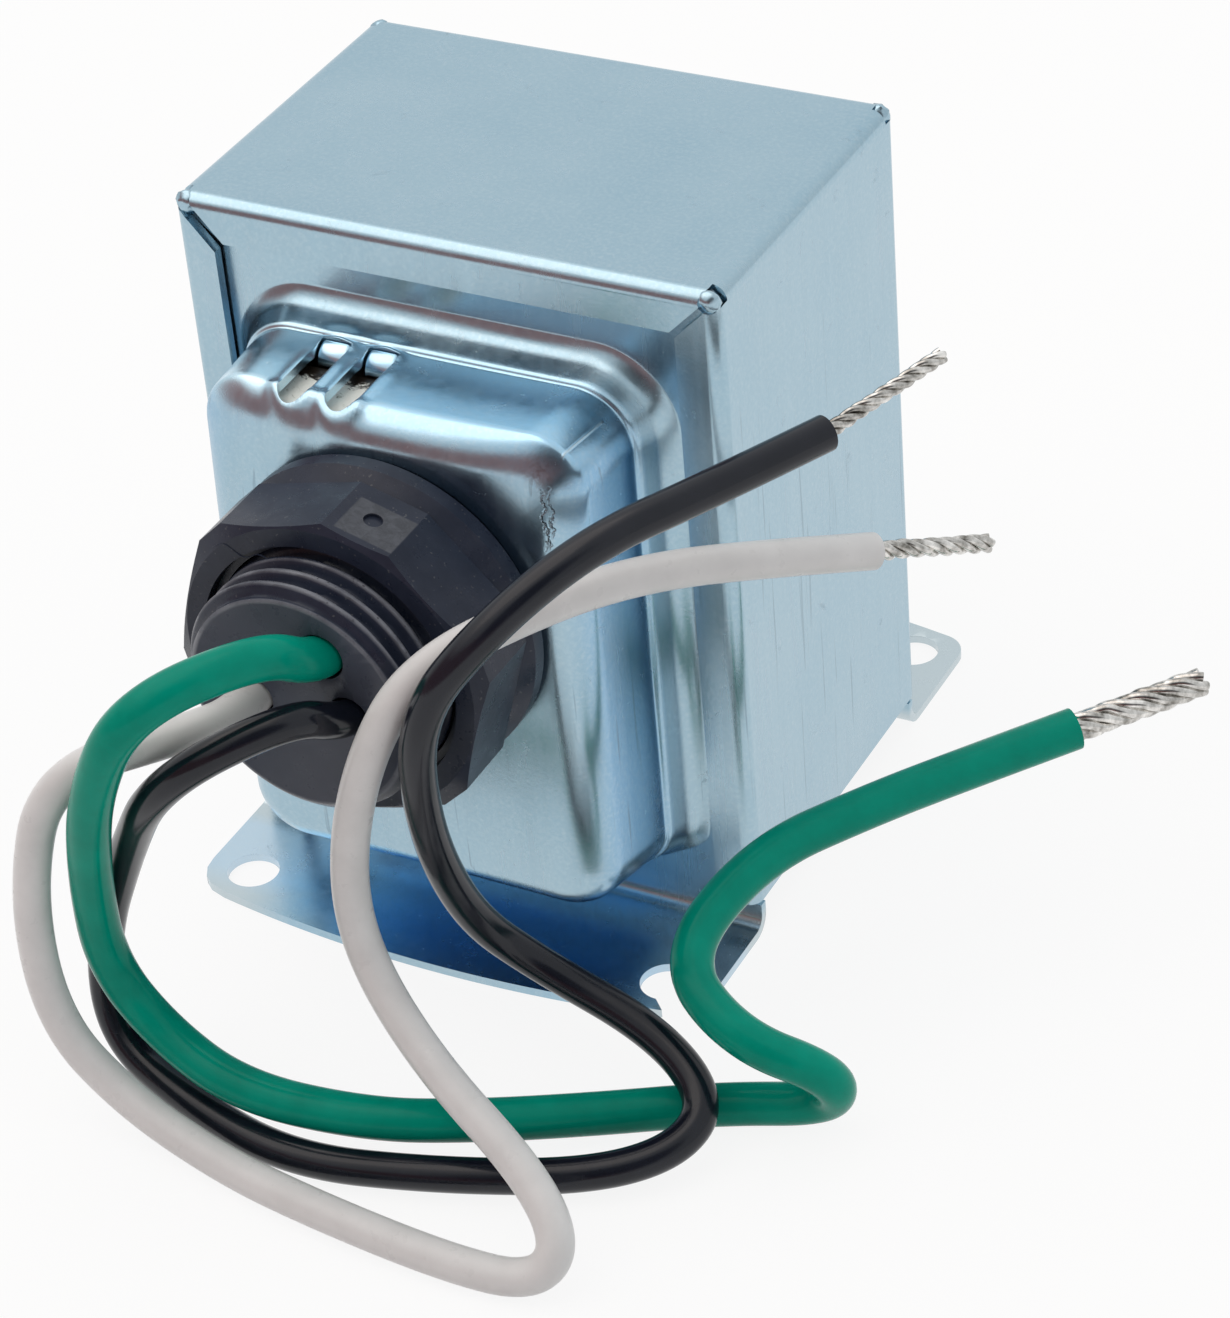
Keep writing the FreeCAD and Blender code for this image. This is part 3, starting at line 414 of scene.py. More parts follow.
def strand_tree():
    """Straight strands round an axis, twisted about it as they go up, each a round wire."""
    tree = bpy.data.node_groups.new("twisted strands", "GeometryNodeTree")
    tree.interface.new_socket("Geometry", in_out="OUTPUT", socket_type="NodeSocketGeometry")
    tree.interface.new_socket("Strands", in_out="INPUT", socket_type="NodeSocketInt")
    for label in ("Wire Radius", "Lay Radius", "Length", "Turns", "Unevenness"):
        tree.interface.new_socket(label, in_out="INPUT", socket_type="NodeSocketFloat")

    def form(kind, **inputs):
        return add_node(tree, "GeometryNode" + kind, None, **inputs).outputs[0]

    def value(kind, props=None, output=0, **inputs):
        return add_node(tree, "ShaderNode" + kind, props, **inputs).outputs[output]

    given = tree.nodes.new("NodeGroupInput").outputs
    line = form("CurvePrimitiveLine", End=value("CombineXYZ", Z=given["Length"]))
    line = form("ResampleCurve", Curve=line, Count=90)
    around = form("MeshCircle", Vertices=given["Strands"], Radius=given["Lay Radius"])
    many = form("InstanceOnPoints", Points=around, Instance=line)
    many = form("RealizeInstances", Geometry=many)
    place = form("InputPosition")
    height = value("SeparateXYZ", output="Z", Vector=place)
    share = value("Math", {"operation": "DIVIDE"}, i0=height, i1=given["Length"])
    turn = value("Math", {"operation": "MULTIPLY"}, i0=share, i1=given["Turns"])
    angle = value("Math", {"operation": "MULTIPLY"}, i0=turn, i1=2 * math.pi)
    twisted = value("VectorRotate", {"rotation_type": "Z_AXIS"}, Vector=place, Angle=angle)
    many = form("SetPosition", Geometry=many, Position=twisted)
    wander = value("TexNoise", {"noise_dimensions": "3D"}, output="Color", Vector=place, Scale=420.0,
                   Detail=1.0)
    centred = value("VectorMath", {"operation": "SUBTRACT"}, i0=wander, i1=(0.5, 0.5, 0.5))
    scaled = value("VectorMath", {"operation": "SCALE"}, i0=centred, Scale=given["Unevenness"])
    many = form("SetPosition", Geometry=many, Offset=scaled)
    wire = form("CurvePrimitiveCircle", Resolution=12, Radius=given["Wire Radius"])
    solid = form("CurveToMesh", Curve=many, Profile_Curve=wire, Fill_Caps=True)
    solid = form("SetShadeSmooth", Geometry=solid)
    solid = form("RealizeInstances", Geometry=solid)
    solid = form("SetMaterial", Geometry=solid, Material=materials["tinned_copper"])
    tree.links.new(solid, tree.nodes.new("NodeGroupOutput").inputs[0])
    return tree


def grown(name, tree, values):
    """An object with the plain mesh that a tree makes with those input values."""
    obj = link(name, bpy.data.meshes.new(name))
    modifier = obj.modifiers.new("make", "NODES")
    modifier.node_group = tree
    for item in tree.interface.items_tree:
        if item.in_out == "INPUT" and item.name in values:
            modifier[item.identifier] = values[item.name]
    mesh = evaluated(obj)
    obj.modifiers.clear()
    obj.data = mesh
    return obj


def strands(name, tree, start, way, length, count, wire, turns):
    """Bare strands, twisted together, each touching the next; all lengths in metres."""
    lay = wire / math.sin(math.pi / count)
    obj = grown(name, tree, {"Strands": count, "Wire Radius": wire, "Lay Radius": lay, "Length": length,
                             "Turns": turns, "Unevenness": wire * 1.1})
    turn = Vector((0, 0, 1)).rotation_difference(way).to_matrix().to_4x4()
    obj.data.transform(Matrix.Translation(start) @ turn)
    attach(obj, "root")
    return obj


twisted_strands = strand_tree()


def make_lead(colour, route, radius, bare, count, strand, turns, lift=0.0):
    """A lead with its bare end. Sizes are in millimetres. Lift tilts the bare end up."""
    wire = lead(f"{colour}_wire", route, radius)
    line = centreline(wire)
    way = (line[-1] - line[-2]).normalized()
    if lift:
        way = (way + Vector((0, 0, lift))).normalized()
    sunk, short = 0.4, 0.2          # the strands start inside the insulation, and end a little early
    ends = strands(f"{colour}_strands", twisted_strands, line[-1] - way * sunk * MM, way,
                   (bare + sunk - short) * MM, count, strand * MM, turns)
    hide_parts(f"{colour}_lead")
    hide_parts(f"{colour}_bare_end")


green_route = [
    (2.72, -39.7, 42.234), (2.72, -41.0, 42.234), (2.72, -45.3, 42.234), (1.0, -50.0, 46.0),
    (-6.0, -58.5, 44.5), (-11.5, -58.0, 34.5), (-15.0, -55.5, 23.0), (-16.0, -54.0, 13.0),
    (-11.5, -54.0, 7.0), (-3.0, -56.0, 5.0), (8.0, -54.5, 4.5), (15.5, -51.0, 4.0), (23.5, -45.0, 2.5),
    (32.0, -39.5, 2.0), (41.0, -36.5, 2.5), (42.5, -39.0, 8.0), (35.0, -41.5, 11.5), (28.0, -37.5, 14.5),
    (30.5, -27.0, 18.0), (37.0, -18.5, 19.0), (42.0, -11.5, 19.0), (49.0, -4.0, 20.0),
]
black_route = [
    (4.8, -39.7, 37.125), (4.8, -41.0, 37.125), (4.8, -45.4, 37.125), (3.0, -50.2, 40.6),
    (-6.0, -56.5, 36.0), (-14.0, -51.5, 23.5), (-19.0, -50.5, 12.0), (-17.5, -53.0, 4.0),
    (-9.0, -55.5, 1.6), (2.5, -58.5, 1.6), (14.5, -56.0, 2.0), (26.0, -51.5, 2.0), (32.0, -47.0, 3.0),
    (33.0, -42.5, 5.0), (27.0, -39.5, 8.0), (16.0, -39.5, 12.0), (12.0, -42.5, 18.0), (11.5, -46.5, 29.5),
    (13.5, -49.0, 42.5), (18.5, -45.5, 49.5), (24.0, -38.0, 54.0), (29.5, -29.0, 54.5), (34.5, -18.5, 54.5),
]
white_route = [
    (-3.98, -39.7, 36.828), (-3.98, -46.6, 36.828), (-6.0, -51.5, 37.5), (-17.0, -56.0, 33.5),
    (-20.5, -57.0, 21.0), (-19.0, -58.5, 9.5), (-12.5, -59.0, 3.5), (-2.5, -61.0, 1.6), (7.0, -63.0, 2.0),
    (20.0, -64.0, 1.6), (27.5, -63.5, 1.6), (29.5, -61.5, 4.5), (25.0, -58.0, 7.5), (14.0, -53.5, 11.5),
    (6.0, -49.0, 16.5), (5.0, -48.5, 25.0), (8.0, -48.5, 36.5), (12.0, -46.0, 44.5), (19.0, -38.0, 47.0),
    (24.0, -29.5, 46.0), (30.0, -20.5, 43.0), (35.0, -12.0, 39.5),
]
make_lead("green", green_route, 1.8, bare=12.0, count=6, strand=0.42, turns=1.2)
make_lead("black", black_route, 1.5, bare=12.4, count=4, strand=0.28, turns=2.6, lift=0.16)
make_lead("white", white_route, 1.55, bare=12.4, count=4, strand=0.34, turns=2.1)


# Meshes
def piece(name, mesh, slot, replaced):
    """A finished piece in its finish, in place of some of the CAD's nodes."""
    mesh.materials.clear()
    mesh.materials.append(materials[slot])
    obj = link(name, mesh)
    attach(obj, "root")
    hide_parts(*replaced)
    return obj


def to_mesh(name, bm):
    mesh = bpy.data.meshes.new(name)
    bm.to_mesh(mesh)
    bm.free()
    return mesh


def loop(bm, points):
    """Vertices at points that are given in millimetres."""
    return [bm.verts.new([c * MM for c in p]) for p in points]


def skin(bm, rings, closed=True):
    """Quads between rings that have as many points each."""
    for near, far in zip(rings, rings[1:]):
        count = len(near)
        for i in range(count if closed else count - 1):
            j = (i + 1) % count
            if len({near[i], near[j], far[j], far[i]}) == 4:
                bm.faces.new((near[i], near[j], far[j], far[i]))


def fill(bm, loops):
    """Fills a flat outline, and leaves the loops inside it open."""
    edges = []
    for verts in loops:
        for v, following in zip(verts, verts[1:] + verts[:1]):
            edges.append(bm.edges.get((v, following)) or bm.edges.new((v, following)))
    bmesh.ops.triangle_fill(bm, use_beauty=True, use_dissolve=False, edges=edges)


def baked(name, bm, *modifiers):
    """A plain mesh from a bmesh and some modifiers."""
    mesh = to_mesh(name, bm)
    obj = link(name, mesh)
    for kind, values in modifiers:
        modifier = obj.modifiers.new(kind, kind)
        for key, value in values.items():
            setattr(modifier, key, value)
    result = evaluated(obj)
    bpy.data.objects.remove(obj)
    bpy.data.meshes.remove(mesh)
    return result


def soften(mesh, angle):
    """Smooth shading with crisp edges where the surface turns by more than the angle."""
    bm = bmesh.new()
    bm.from_mesh(mesh)
    for f in bm.faces:
        f.smooth = True
    for e in bm.edges:
        e.smooth = len(e.link_faces) == 2 and e.calc_face_angle(0) < math.radians(angle)
    return baked(mesh.name, bm, ("WEIGHTED_NORMAL", {"keep_sharp": True, "weight": 80}))


def merged_copy(name):
    """A CAD node's mesh as a closed one, for a piece that is made from it."""
    bm = bmesh.new()
    bm.from_mesh(nodes[name].data)
    bmesh.ops.remove_doubles(bm, verts=bm.verts, dist=1e-6)
    return bm


def add_forms(mesh, *forms):
    """Lets functions that take a bmesh add their forms to a finished mesh."""
    bm = bmesh.new()
    bm.from_mesh(mesh)
    for form in forms:
        form(bm)
    bm.to_mesh(mesh)
    bm.free()


def edge_bevel(width, angle, segments=2, **values):
    """A bevel modifier for edges that turn by more than the angle."""
    return "BEVEL", {"width": width * MM, "segments": segments, "limit_method": "ANGLE",
                     "angle_limit": math.radians(angle), **values}


def ridge(bm, path, radii, stretch):
    """A thin six-sided ridge along a path, with a radius at each point, stretched along the three axes."""
    rings = []
    for (x, y, z), radius in zip(path, radii):
        rx, ry, rz = (radius * s for s in stretch)
        rings.append(loop(bm, [(x + rx * math.cos(a), y + ry * math.sin(a), z + rz * math.cos(a))
                               for a in circle(6)]))
    skin(bm, rings)
    return rings


# Conduit hub, with its thread
PITCH, THREAD_DEPTH = 1.8, 0.95
CREST_AT = 42.2             # depth of a crest at the hub's right side
LEAD_HOLES = ((2.74, 42.45, 2.0), (4.66, 37.28, 1.7), (-4.1, 36.86, 1.75))      # x, height and radius


def thread_radius(depth, angle):
    """The thread's surface at a depth and an angle round the hub, cut by the chamfer at the rim."""
    phase = ((depth - CREST_AT) / PITCH + angle / (2 * math.pi)) % 1.0
    crest = smooth(abs(phase - 0.5) * 2, 0.22, 0.88)
    chamfer = RIM_RADIUS + max(0.0, HUB_END - depth) * 1.15
    return min(HUB_RADIUS - THREAD_DEPTH * (1 - crest), chamfer)


def make_hub():
    bore, collar, body = 8.5, 12.6, 10.6
    end_wall = 2.6
    thread_start, thread_end, steps = 35.0, HUB_END - 0.12, 76
    bm = bmesh.new()
    around = circle(180)

    def ring(depth, radius=None):
        """Points round the hub's axis, on the thread where no radius is given."""
        radii = [radius or thread_radius(depth, a) for a in around]
        return loop(bm, [(r * math.cos(a), -depth, HUB_Z + r * math.sin(a)) for r, a in zip(radii, around)])

    rings = [ring(26.45, bore), ring(26.45, collar), ring(28.2, collar), ring(28.25, body), ring(34.8, body)]
    rings += [ring(thread_start + (thread_end - thread_start) * k / steps) for k in range(steps + 1)]
    rings += [ring(HUB_END - 0.03, RIM_RADIUS - 0.05), ring(HUB_END, RIM_RADIUS - 0.16)]
    skin(bm, rings)
    inner = ring(HUB_END - end_wall, bore)
    skin(bm, [inner, rings[0]])
    mouths, backs = [], []
    for x, z, radius in LEAD_HOLES:
        tube = []
        for inward, wider in ((0.0, 0.14), (0.05, 0.04), (0.16, 0.0), (end_wall, 0.0)):
            r = radius + wider
            tube.append(loop(bm, [(x + r * math.cos(a), inward - HUB_END, z + r * math.sin(a))
                                  for a in circle(48)]))
        skin(bm, tube)
        mouths.append(tube[0])
        backs.append(tube[-1])
    fill(bm, [rings[-1]] + mouths)
    fill(bm, [inner] + backs)
    bmesh.ops.recalc_face_normals(bm, faces=bm.faces)
    piece("threaded_hub", soften(to_mesh("hub", bm), 38), "hub_nylon", ["conduit_hub"])


make_hub()


# Locknut, from the CAD's own form with moulded edges
def flash_line(bm):
    """A thin, curved line that the mould left on the front face, above the hub."""
    path = [(-9.4 + 0.32 * k, -NUT_FRONT - 0.03,
             HUB_Z + 9.6 + 0.42 * math.sin(k * 0.55) - 0.0042 * k * k + 0.05 * k) for k in range(23)]
    radii = [0.075 * math.sin(math.pi * (k + 0.4) / 23.4) + 0.015 for k in range(23)]
    ridge(bm, path, radii, (1.0, 0.9, 0.4))


def make_nut():
    bm = merged_copy("hex_locknut")
    bmesh.ops.dissolve_limit(bm, angle_limit=math.radians(1.5), verts=bm.verts, edges=bm.edges)
    mesh = baked("nut", bm, edge_bevel(0.32, 24, segments=3, profile=0.6))
    add_forms(mesh, flash_line)
    piece("moulded_locknut", soften(mesh, 50), "hub_nylon", ["hex_locknut"])


make_nut()


# Front plate: a drawn pan with a soft skirt round it, two slots with turned tabs, and the foot
PAN_HALF, PAN_LOW, PAN_HIGH = 18.24, 6.22, 54.72        # the pan's wall at the depth of the rim
TAPER_SIDE, TAPER_LOW, TAPER_HIGH = 0.9, 2.5, 0.3       # and how far it is drawn in at the face
PAN_CORNER = 5.0
EDGE_RADIUS = 3.0           # between the wall and the face
EDGE_START = PAN_FRONT - EDGE_RADIUS
WALL_END = 19.9             # depth where the wall goes over into the skirt
HUB_HOLE = 10.8             # radius
BEND_RADIUS = 1.2           # of the foot's bend, on the front side of the metal
EAR_REACH, MIDDLE_REACH = 11.9, 14.5                    # of the foot, from the wrap's folded edges
SLOT_XS, SLOT_HALF = (-3.9, -8.35), 1.4
SLOT_NEAR, SLOT_FAR = 20.05, 28.45                      # depths of a slot's two ends
# The skirt: depth, and how far it stands out of the pan's wall
SKIRT = [
    (19.75, 0.0), (19.6, 0.02), (19.5, 0.07), (19.45, 0.16), (19.4, 0.25), (19.3, 0.33), (19.1, 0.40),
    (18.8, 0.47), (18.4, 0.57), (18.0, 0.69), (17.6, 0.83), (17.3, 0.96), (17.05, 1.12), (16.82, 1.32),
    (16.6, 1.58), (16.4, 1.88), (16.25, 2.18), (FLAT_Y, 2.45),
]


def pan_ring(depth, inset=0.0, out=0.0):
    """Points round the pan at a depth, drawn in from the wall by the inset or let out into the skirt."""
    share = (depth - FLAT_Y) / (PAN_FRONT - FLAT_Y)
    half = PAN_HALF - TAPER_SIDE * share - inset
    low, high = PAN_LOW + TAPER_LOW * share + inset, PAN_HIGH - TAPER_HIGH * share - inset
    corner = max(PAN_CORNER - inset, 0.6)
    points = []

    def straight(a, b, count, normal):
        for k in range(count):
            t = k / count
            points.append((a[0] + (b[0] - a[0]) * t, a[1] + (b[1] - a[1]) * t, *normal))

    def arc(cx, cz, start):
        for t in angles(start, start + 90, 18)[:-1]:
            points.append((cx + corner * math.cos(t), cz + corner * math.sin(t), math.cos(t), math.sin(t)))

    straight((half, low + corner), (half, high - corner), 44, (1, 0))
    arc(half - corner, high - corner, 0)
    straight((half - corner, high), (corner - half, high), 76, (0, 1))
    arc(corner - half, high - corner, 90)
    straight((-half, high - corner), (-half, low + corner), 44, (-1, 0))
    arc(corner - half, low + corner, 180)
    straight((corner - half, low), (half - corner, low), 40, (0, -1))
    arc(half - corner, low + corner, 270)
    ring = []
    for x, z, nx, nz in points:
        push = out * (0.4 + 0.6 * smooth(z, 7.0, 10.0))        # the skirt is narrower along the foot
        ring.append((x + nx * push, -depth, z + nz * push))
    return ring


def pan_rows():
    """Outlines of the pressed metal, from the hub's hole over the face, its edge and the wall to the rim."""
    rows = []
    for share in (0.0, 0.14, 0.28, 0.42, 0.56, 0.7, 0.85):
        row = []
        for x, y, z in pan_ring(PAN_FRONT, EDGE_RADIUS):
            a = math.atan2(z - HUB_Z, x)
            near_x, near_z = HUB_HOLE * math.cos(a), HUB_Z + HUB_HOLE * math.sin(a)
            row.append((x * share + (1 - share) * near_x, y, z * share + (1 - share) * near_z))
        rows.append(row)
    for a in angles(0, 90, 12):
        rows.append(pan_ring(EDGE_START + EDGE_RADIUS * math.cos(a), EDGE_RADIUS - EDGE_RADIUS * math.sin(a)))
    for k in range(1, 17):
        rows.append(pan_ring(EDGE_START - (EDGE_START - WALL_END) * k / 16))
    return rows + [pan_ring(depth, out=out) for depth, out in SKIRT]


def foot_edge():
    """The foot's outline from side to side: a rounded ear at each, and a middle that bulges forward."""
    ear, middle = FACE_Y + EAR_REACH, FACE_Y + MIDDLE_REACH
    bulge = middle - ear
    swing = (FOOT_HALF ** 2 + bulge ** 2) / (2 * bulge)         # radius of the middle's arc
    left = [(-x, -(ear + past), PLATE) for x, past in
            ((FOOT_HALF, -3.1), (24.72, -1.75), (24.1, -0.62), (23.2, 0.12))]
    arc = []
    for k in range(61):
        x = -FOOT_HALF + 2 * FOOT_HALF * k / 60
        if abs(x) < 22.4:
            arc.append((x, -(middle - swing + math.sqrt(swing ** 2 - x * x)), PLATE))
    return left + arc + [(-x, y, z) for x, y, z in reversed(left)]


def add_rim_and_foot(bm, pan_edge):
    """The flat rim round the pan, wider at its lower end, and the foot that is bent forward from it."""
    side, top, shoulder, bend_top = 23.61, 62.4, 2.96, PLATE + BEND_RADIUS
    outline = [(-side, top), (-side, shoulder), (-FOOT_HALF, shoulder), (-FOOT_HALF, bend_top),
               (FOOT_HALF, bend_top), (FOOT_HALF, shoulder), (side, shoulder), (side, top)]
    rim = loop(bm, [(x, -FLAT_Y, z) for x, z in outline])
    fill(bm, [rim, pan_edge])
    bend = [[rim[3], rim[4]]]
    for a in angles(0, 90, 9)[1:]:
        y, z = -(FLAT_Y + BEND_RADIUS * (1 - math.cos(a))), bend_top - BEND_RADIUS * math.sin(a)
        bend.append(loop(bm, [(-FOOT_HALF, y, z), (FOOT_HALF, y, z)]))
    skin(bm, bend, closed=False)
    fill(bm, [[bend[-1][1], bend[-1][0]] + loop(bm, foot_edge())])


def dent(x, y, z):
    """How far the pressed metal stands out of its plain form, in millimetres."""
    depth = -y
    rise = 0.10 * noise.noise(Vector((x * 0.07, y * 0.07, z * 0.07)))
    for cx in SLOT_XS:
        # a raised collar round the slot's outer end, a low rim along its sides, and a rise over the tab
        end = math.hypot(x - cx, (depth - SLOT_FAR + SLOT_HALF) * 0.9)
        collar = math.exp(-((end - 1.75) / 0.75) ** 2) * smooth(depth, SLOT_FAR - 1.9, SLOT_FAR - 0.4)
        rise += 0.5 * collar * smooth(z, 48.5, 51.5)
        rim = math.exp(-((abs(x - cx) - 1.6) / 0.45) ** 2) * smooth(depth, 21.0, 23.0)
        rise += 0.16 * rim * (1 - smooth(depth, 26.6, 28.6)) * smooth(z, 50.5, 53.0)
        tab = math.hypot((x - cx) / 1.5, (depth - SLOT_NEAR + 0.1) / 0.9)
        rise += 0.5 * math.exp(-tab ** 2) * smooth(z, 53.0, 54.5)
    return rise


def press(bm):
    """Dents the pressed metal, and lets the face fall away a little towards its upper corners."""
    for v in bm.verts:
        x, y, z = (c / MM for c in v.co)
        if y < -FLAT_Y - 0.3 and z > 6:
            v.co += v.normal * (dent(x, y, z) * MM)
    for v in bm.verts:
        x, y, z = (c / MM for c in v.co)
        share = min(max((-y - EDGE_START) / EDGE_RADIUS, 0.0), 1.0)
        outside = max(0.0, math.hypot(x, z - HUB_Z) - 11.5)
        v.co.y += 0.017 * outside ** 2 * share * smooth(z, 26.0, 40.0) * MM


def cutter(name, outlines, low, high):
    """A body that cuts prisms out of a sheet, over outlines of (x, y) between two heights."""
    bm = bmesh.new()
    for outline in outlines:
        ends = [loop(bm, [(x, y, z) for x, y in outline]) for z in (low, high)]
        skin(bm, ends)
        for end in ends:
            bm.faces.new(end)
    bmesh.ops.recalc_face_normals(bm, faces=bm.faces)
    return link(name, to_mesh(name, bm))


def slot_outline(x):
    """A slot with a straight inner end and a round outer one."""
    round_end = [(x + SLOT_HALF * math.cos(a), -(SLOT_FAR - SLOT_HALF) - SLOT_HALF * math.sin(a))
                 for a in angles(0, 180, 16)]
    return [(x - SLOT_HALF, -SLOT_NEAR), (x + SLOT_HALF, -SLOT_NEAR)] + round_end


def foot_hole_outlines():
    """The closed hole at the left, and the one at the right that is open to the corner."""
    def arc(side, turns):
        return [(side * HOLE_X + HOLE_RADIUS * math.cos(a), HOLE_RADIUS * math.sin(a) - HOLE_Y)
                for a in turns]

    half_mouth = math.degrees(math.asin(1.6 / HOLE_RADIUS))
    past_corner = 9 * math.sqrt(0.5)
    open_hole = arc(1, angles(half_mouth - 45, 315 - half_mouth, 48))
    mouth = [(x + past_corner, y - past_corner) for x, y in (open_hole[-1], open_hole[0])]
    return [arc(-1, circle(56)), open_hole + mouth]


def slot_tabs(bm):
    """The tab that is turned down at each slot's inner end."""
    top, outer, inner = 54.75, 1.6, 0.85       # height over the bend, and the bend's two radii
    half, bevel_wide, bevel_high = 1.22, 0.22, 0.12
    for x in SLOT_XS:
        rows = []
        for a in angles(8, 90, 12):
            (y0, z0), (y1, z1) = ((-(SLOT_NEAR - 0.1) - r * math.sin(a), top - outer + r * math.cos(a))
                                  for r in (outer, inner))
            rows.append(loop(bm, [
                (x - half, y0, z0 - bevel_high), (x - half + bevel_wide, y0, z0),
                (x + half - bevel_wide, y0, z0), (x + half, y0, z0 - bevel_high),
                (x + half, y1, z1), (x - half, y1, z1)]))
        skin(bm, rows)
        bm.faces.new(rows[-1])
        bm.faces.new(list(reversed(rows[0])))


def make_front_plate():
    bm = bmesh.new()
    rings = [loop(bm, row) for row in pan_rows()]
    skin(bm, rings)
    add_rim_and_foot(bm, rings[-1])
    bmesh.ops.recalc_face_normals(bm, faces=bm.faces)
    bm.normal_update()
    foremost = max(bm.faces, key=lambda f: -f.calc_center_median().y)
    if foremost.normal.y > 0:
        bmesh.ops.reverse_faces(bm, faces=bm.faces)
    bm.normal_update()
    press(bm)
    under_slots, over_pan, under_foot, over_foot = 50.5, 58.0, -1, 1.9
    cutters = [cutter("slot", [slot_outline(x)], under_slots, over_pan) for x in SLOT_XS]
    cutters.append(cutter("holes", foot_hole_outlines(), under_foot, over_foot))
    cuts = [("BOOLEAN", {"operation": "DIFFERENCE", "solver": "MANIFOLD", "object": body})
            for body in cutters]
    mesh = baked("plate", bm, ("SOLIDIFY", {"thickness": PLATE * MM, "offset": -1.0}), *cuts,
                 edge_bevel(0.14, 48, use_clamp_overlap=True))
    for body in cutters:
        bpy.data.objects.remove(body)
    add_forms(mesh, slot_tabs)
    piece("pressed_front_plate", soften(mesh, 42), "zinc_steel", ["front_end_plate"])


make_front_plate()


# Folded wrap and rear plate, from the CAD's own forms with softened cut edges
def tool_marks(bm):
    """A column of small hooked ridges that the folding tool pressed along the right front flange."""
    for k, height in enumerate((59.3, 57.5, 55.2, 52.9, 50.9, 48.5, 46.6)):
        shift = 0.18 * math.sin(k * 2.3)
        path = [(21.75 + shift + 0.55 * t - 0.3 * t * t, -FACE_Y,
                 height + 0.9 - 1.9 * t + 0.35 * math.sin(3 * t + k)) for t in (0.0, 0.2, 0.4, 0.6, 0.8, 1.0)]
        radii = [0.19 * math.sin(math.pi * (i + 0.6) / 6.2) for i in range(len(path))]
        rings = ridge(bm, path, radii, (1.3, -0.55, 0.4))
        bm.faces.new(rings[0])
        bm.faces.new(list(reversed(rings[-1])))


def corner_lips(bm):
    """The metal that gathers in the notches at the four top corners."""
    notch_x, notch_z, wide, deep = 23.85, 62.75, 1.05, 0.85
    for side in (-1, 1):
        for face in (-1, 1):
            ball = bmesh.ops.create_icosphere(bm, subdivisions=3, radius=1.0)
            for v in ball["verts"]:
                x, y, z = v.co
                lump = 1.0 + 0.16 * noise.noise(v.co * 2.2 + Vector((side, face, 0)))
                v.co = Vector((side * notch_x + x * wide * lump, face * FLAT_Y + y * deep * lump,
                               notch_z + z * wide * lump)) * MM


def spring_back(bm):
    """The front flange springs back a little, so that its lower edge stands off the plate."""
    fold, lower_edge, half = 62.6, 59.0, 22.5
    for v in bm.verts:
        x, y, z = (c / MM for c in v.co)
        if y < -16.0 and lower_edge < z < fold and abs(x) < half:
            v.co.y -= 0.1 * (fold - z) * smooth(half - abs(x), 0.0, 2.0) * MM


def make_sheet(node, name, *extras, shape=None):
    """A sheet piece from a CAD node's own form, reshaped where a function is given, with added forms."""
    bm = merged_copy(node)
    if shape:
        shape(bm)
    bmesh.ops.dissolve_limit(bm, angle_limit=math.radians(0.6), verts=bm.verts, edges=bm.edges)
    bmesh.ops.triangulate(bm, faces=[f for f in bm.faces if len(f.verts) > 4])
    mesh = baked(name, bm, edge_bevel(0.13, 50))
    add_forms(mesh, *extras)
    piece(name, soften(mesh, 40), "zinc_steel", [node])


make_sheet("steel_wrap", "folded_wrap", tool_marks, corner_lips, shape=spring_back)
make_sheet("rear_end_plate", "pressed_rear_plate")


# Floor and light
def make_floor():
    """A floor that the camera and metal see as nearly white, and that keeps the object's shadow."""
    mesh = bpy.data.meshes.new("floor")
    mesh.from_pydata([(-1, -1, 0), (1, -1, 0), (1, 1, 0), (-1, 1, 0)], [], [(0, 1, 2, 3)])
    obj = link("floor", mesh)
    g = Graph("floor")
    rays = g.add("LightPath").outputs
    seen = g.math("MAXIMUM", rays["Is Camera Ray"], rays["Is Glossy Ray"])
    seen = g.math("MAXIMUM", seen, rays["Is Transmission Ray"])
    paper = g.add("BsdfDiffuse", Color=(0.86, 0.86, 0.86, 1)).outputs[0]
    white = g.add("Emission", Color=(1, 1, 1, 1), Strength=1.0).outputs[0]
    both = g.add("MixShader", i0=g.times(seen, 0.88), i1=paper, i2=white).outputs[0]
    g.tree.links.new(both, g.out.inputs[0])
    mesh.materials.append(g.material)


def make_key_light():
    """A square lamp, high up and to the left, that is aimed at the case."""
    place, target = Vector((-0.32, -0.10, 0.82)), Vector((0, 0, 0.03))
    data = bpy.data.lights.new("key", "AREA")
    data.energy, data.color, data.size = 1.3, (1.0, 0.90, 0.82), 0.8
    obj = link("key", data)
    obj.location = place
    obj.rotation_euler = (target - place).to_track_quat("-Z", "Y").to_euler()


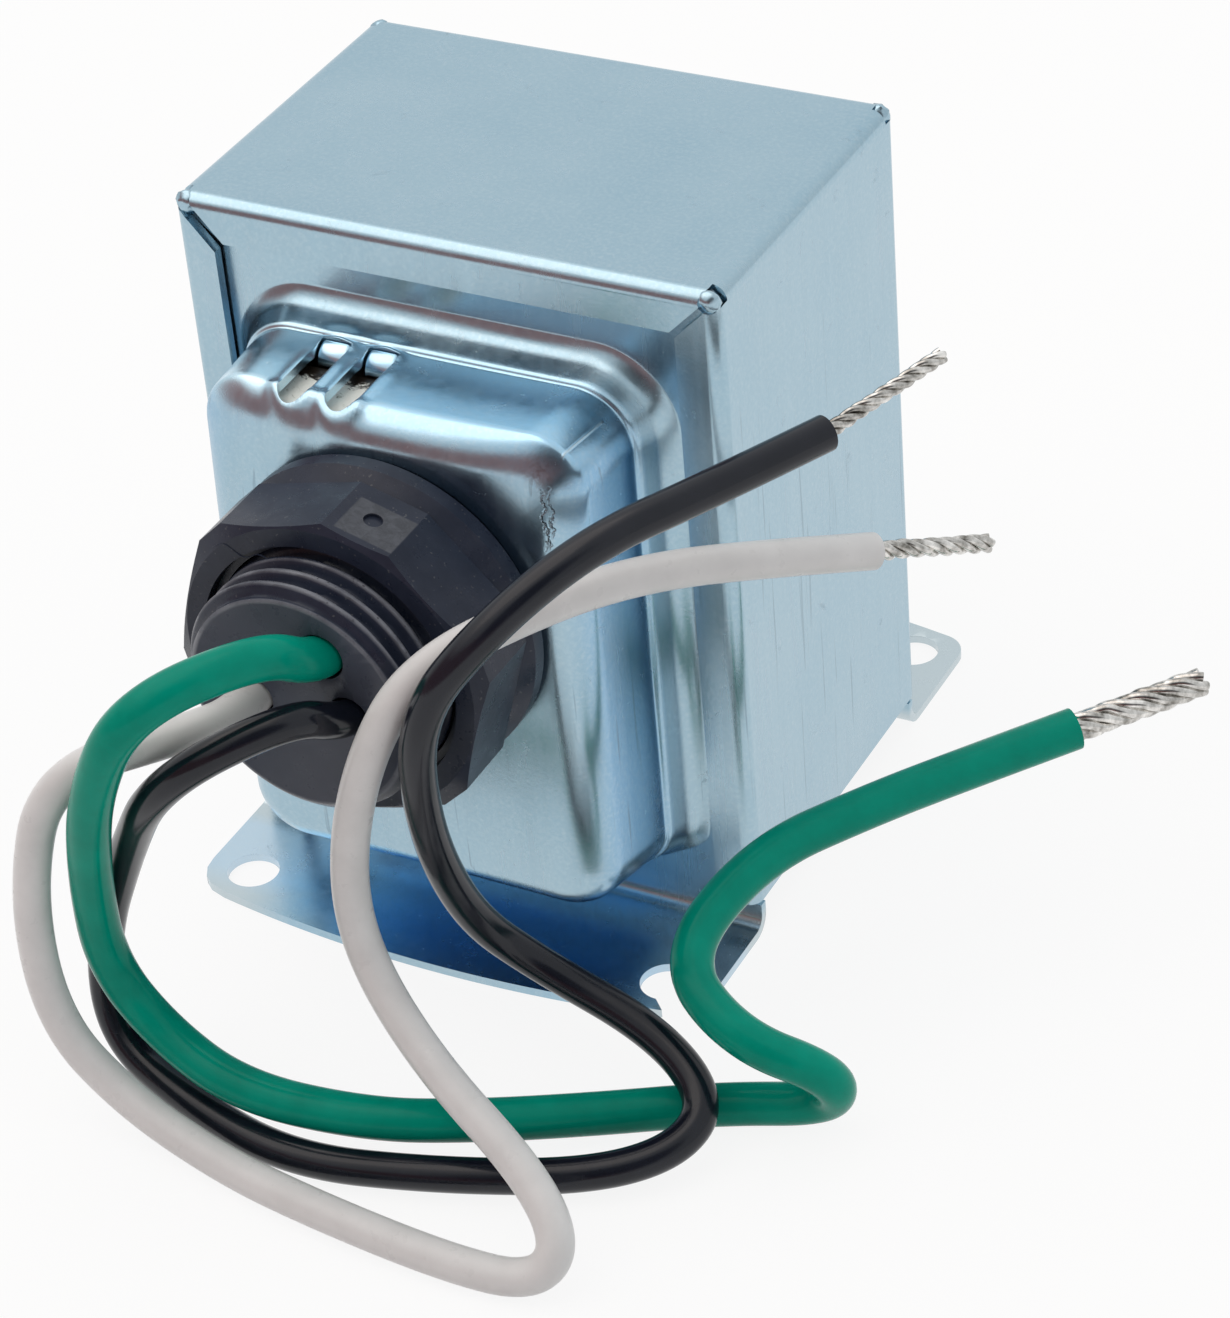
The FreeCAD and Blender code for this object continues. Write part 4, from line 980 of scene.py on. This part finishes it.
def make_world():
    """Even pale light from all round, brighter overhead, with a low warm wall and a dark patch in front."""
    world = bpy.data.worlds.new("studio")
    world.use_nodes = True
    tree = world.node_tree
    tree.nodes.clear()
    sky = tree.nodes.new("ShaderNodeTexCoord").outputs["Generated"]

    def add(kind, *inputs, output=0, **props):
        node = add_node(tree, "ShaderNode" + kind, props)
        for socket, value in zip(node.inputs, inputs):
            feed(tree, socket, value)
        return node.outputs[output]

    def times(a, b):
        return add("Math", a, b, operation="MULTIPLY")

    def raised(share, gain, base):
        return add("Math", share, gain, base, operation="MULTIPLY_ADD")

    def towards(direction, inner, outer):
        """1 within the inner angle of a direction, down to 0 outside the outer one."""
        cosine = add("VectorMath", sky, Vector(direction).normalized(), output="Value",
                     operation="DOT_PRODUCT")
        return add("MapRange", cosine, math.cos(math.radians(outer)), math.cos(math.radians(inner)), 0.0, 1.0,
                   interpolation_type="SMOOTHSTEP")

    sunny = towards((-0.41, -0.10, 0.90), 20, 46)
    behind = towards((-0.3, 0.8, 0.5), 20, 70)
    front = towards((-0.35, -0.93, 0.05), 40, 66)
    low = add("MapRange", add("SeparateXYZ", sky, output="Z"), 0.38, 0.53, 1.0, 0.0,
              interpolation_type="SMOOTHSTEP")
    shade = times(towards((0.41, -0.74, 0.50), 14, 30), 0.85)
    warm = add("Background", (1.0, 0.80, 0.68, 1), times(sunny, 0.36))
    cool = add("Background", (0.97, 0.99, 1.0, 1), raised(behind, 0.12, raised(sunny, 0.15, 0.78)))
    wall = add("Background", (0.36, 0.19, 0.18, 1), 1.0)
    deep = add("Background", (0.035, 0.03, 0.035, 1), 1.0)
    room = add("MixShader", times(low, front), add("AddShader", cool, warm), wall)
    lit = add("MixShader", shade, room, deep)
    plain = add("Background", (1, 1, 1, 1), 1.0)
    seen = add("LightPath", output="Is Camera Ray")
    out = tree.nodes.new("ShaderNodeOutputWorld")
    tree.links.new(add("MixShader", seen, lit, plain), out.inputs[0])
    scene.world = world


make_floor()
make_world()
make_key_light()
scene.view_settings.view_transform = "Standard"
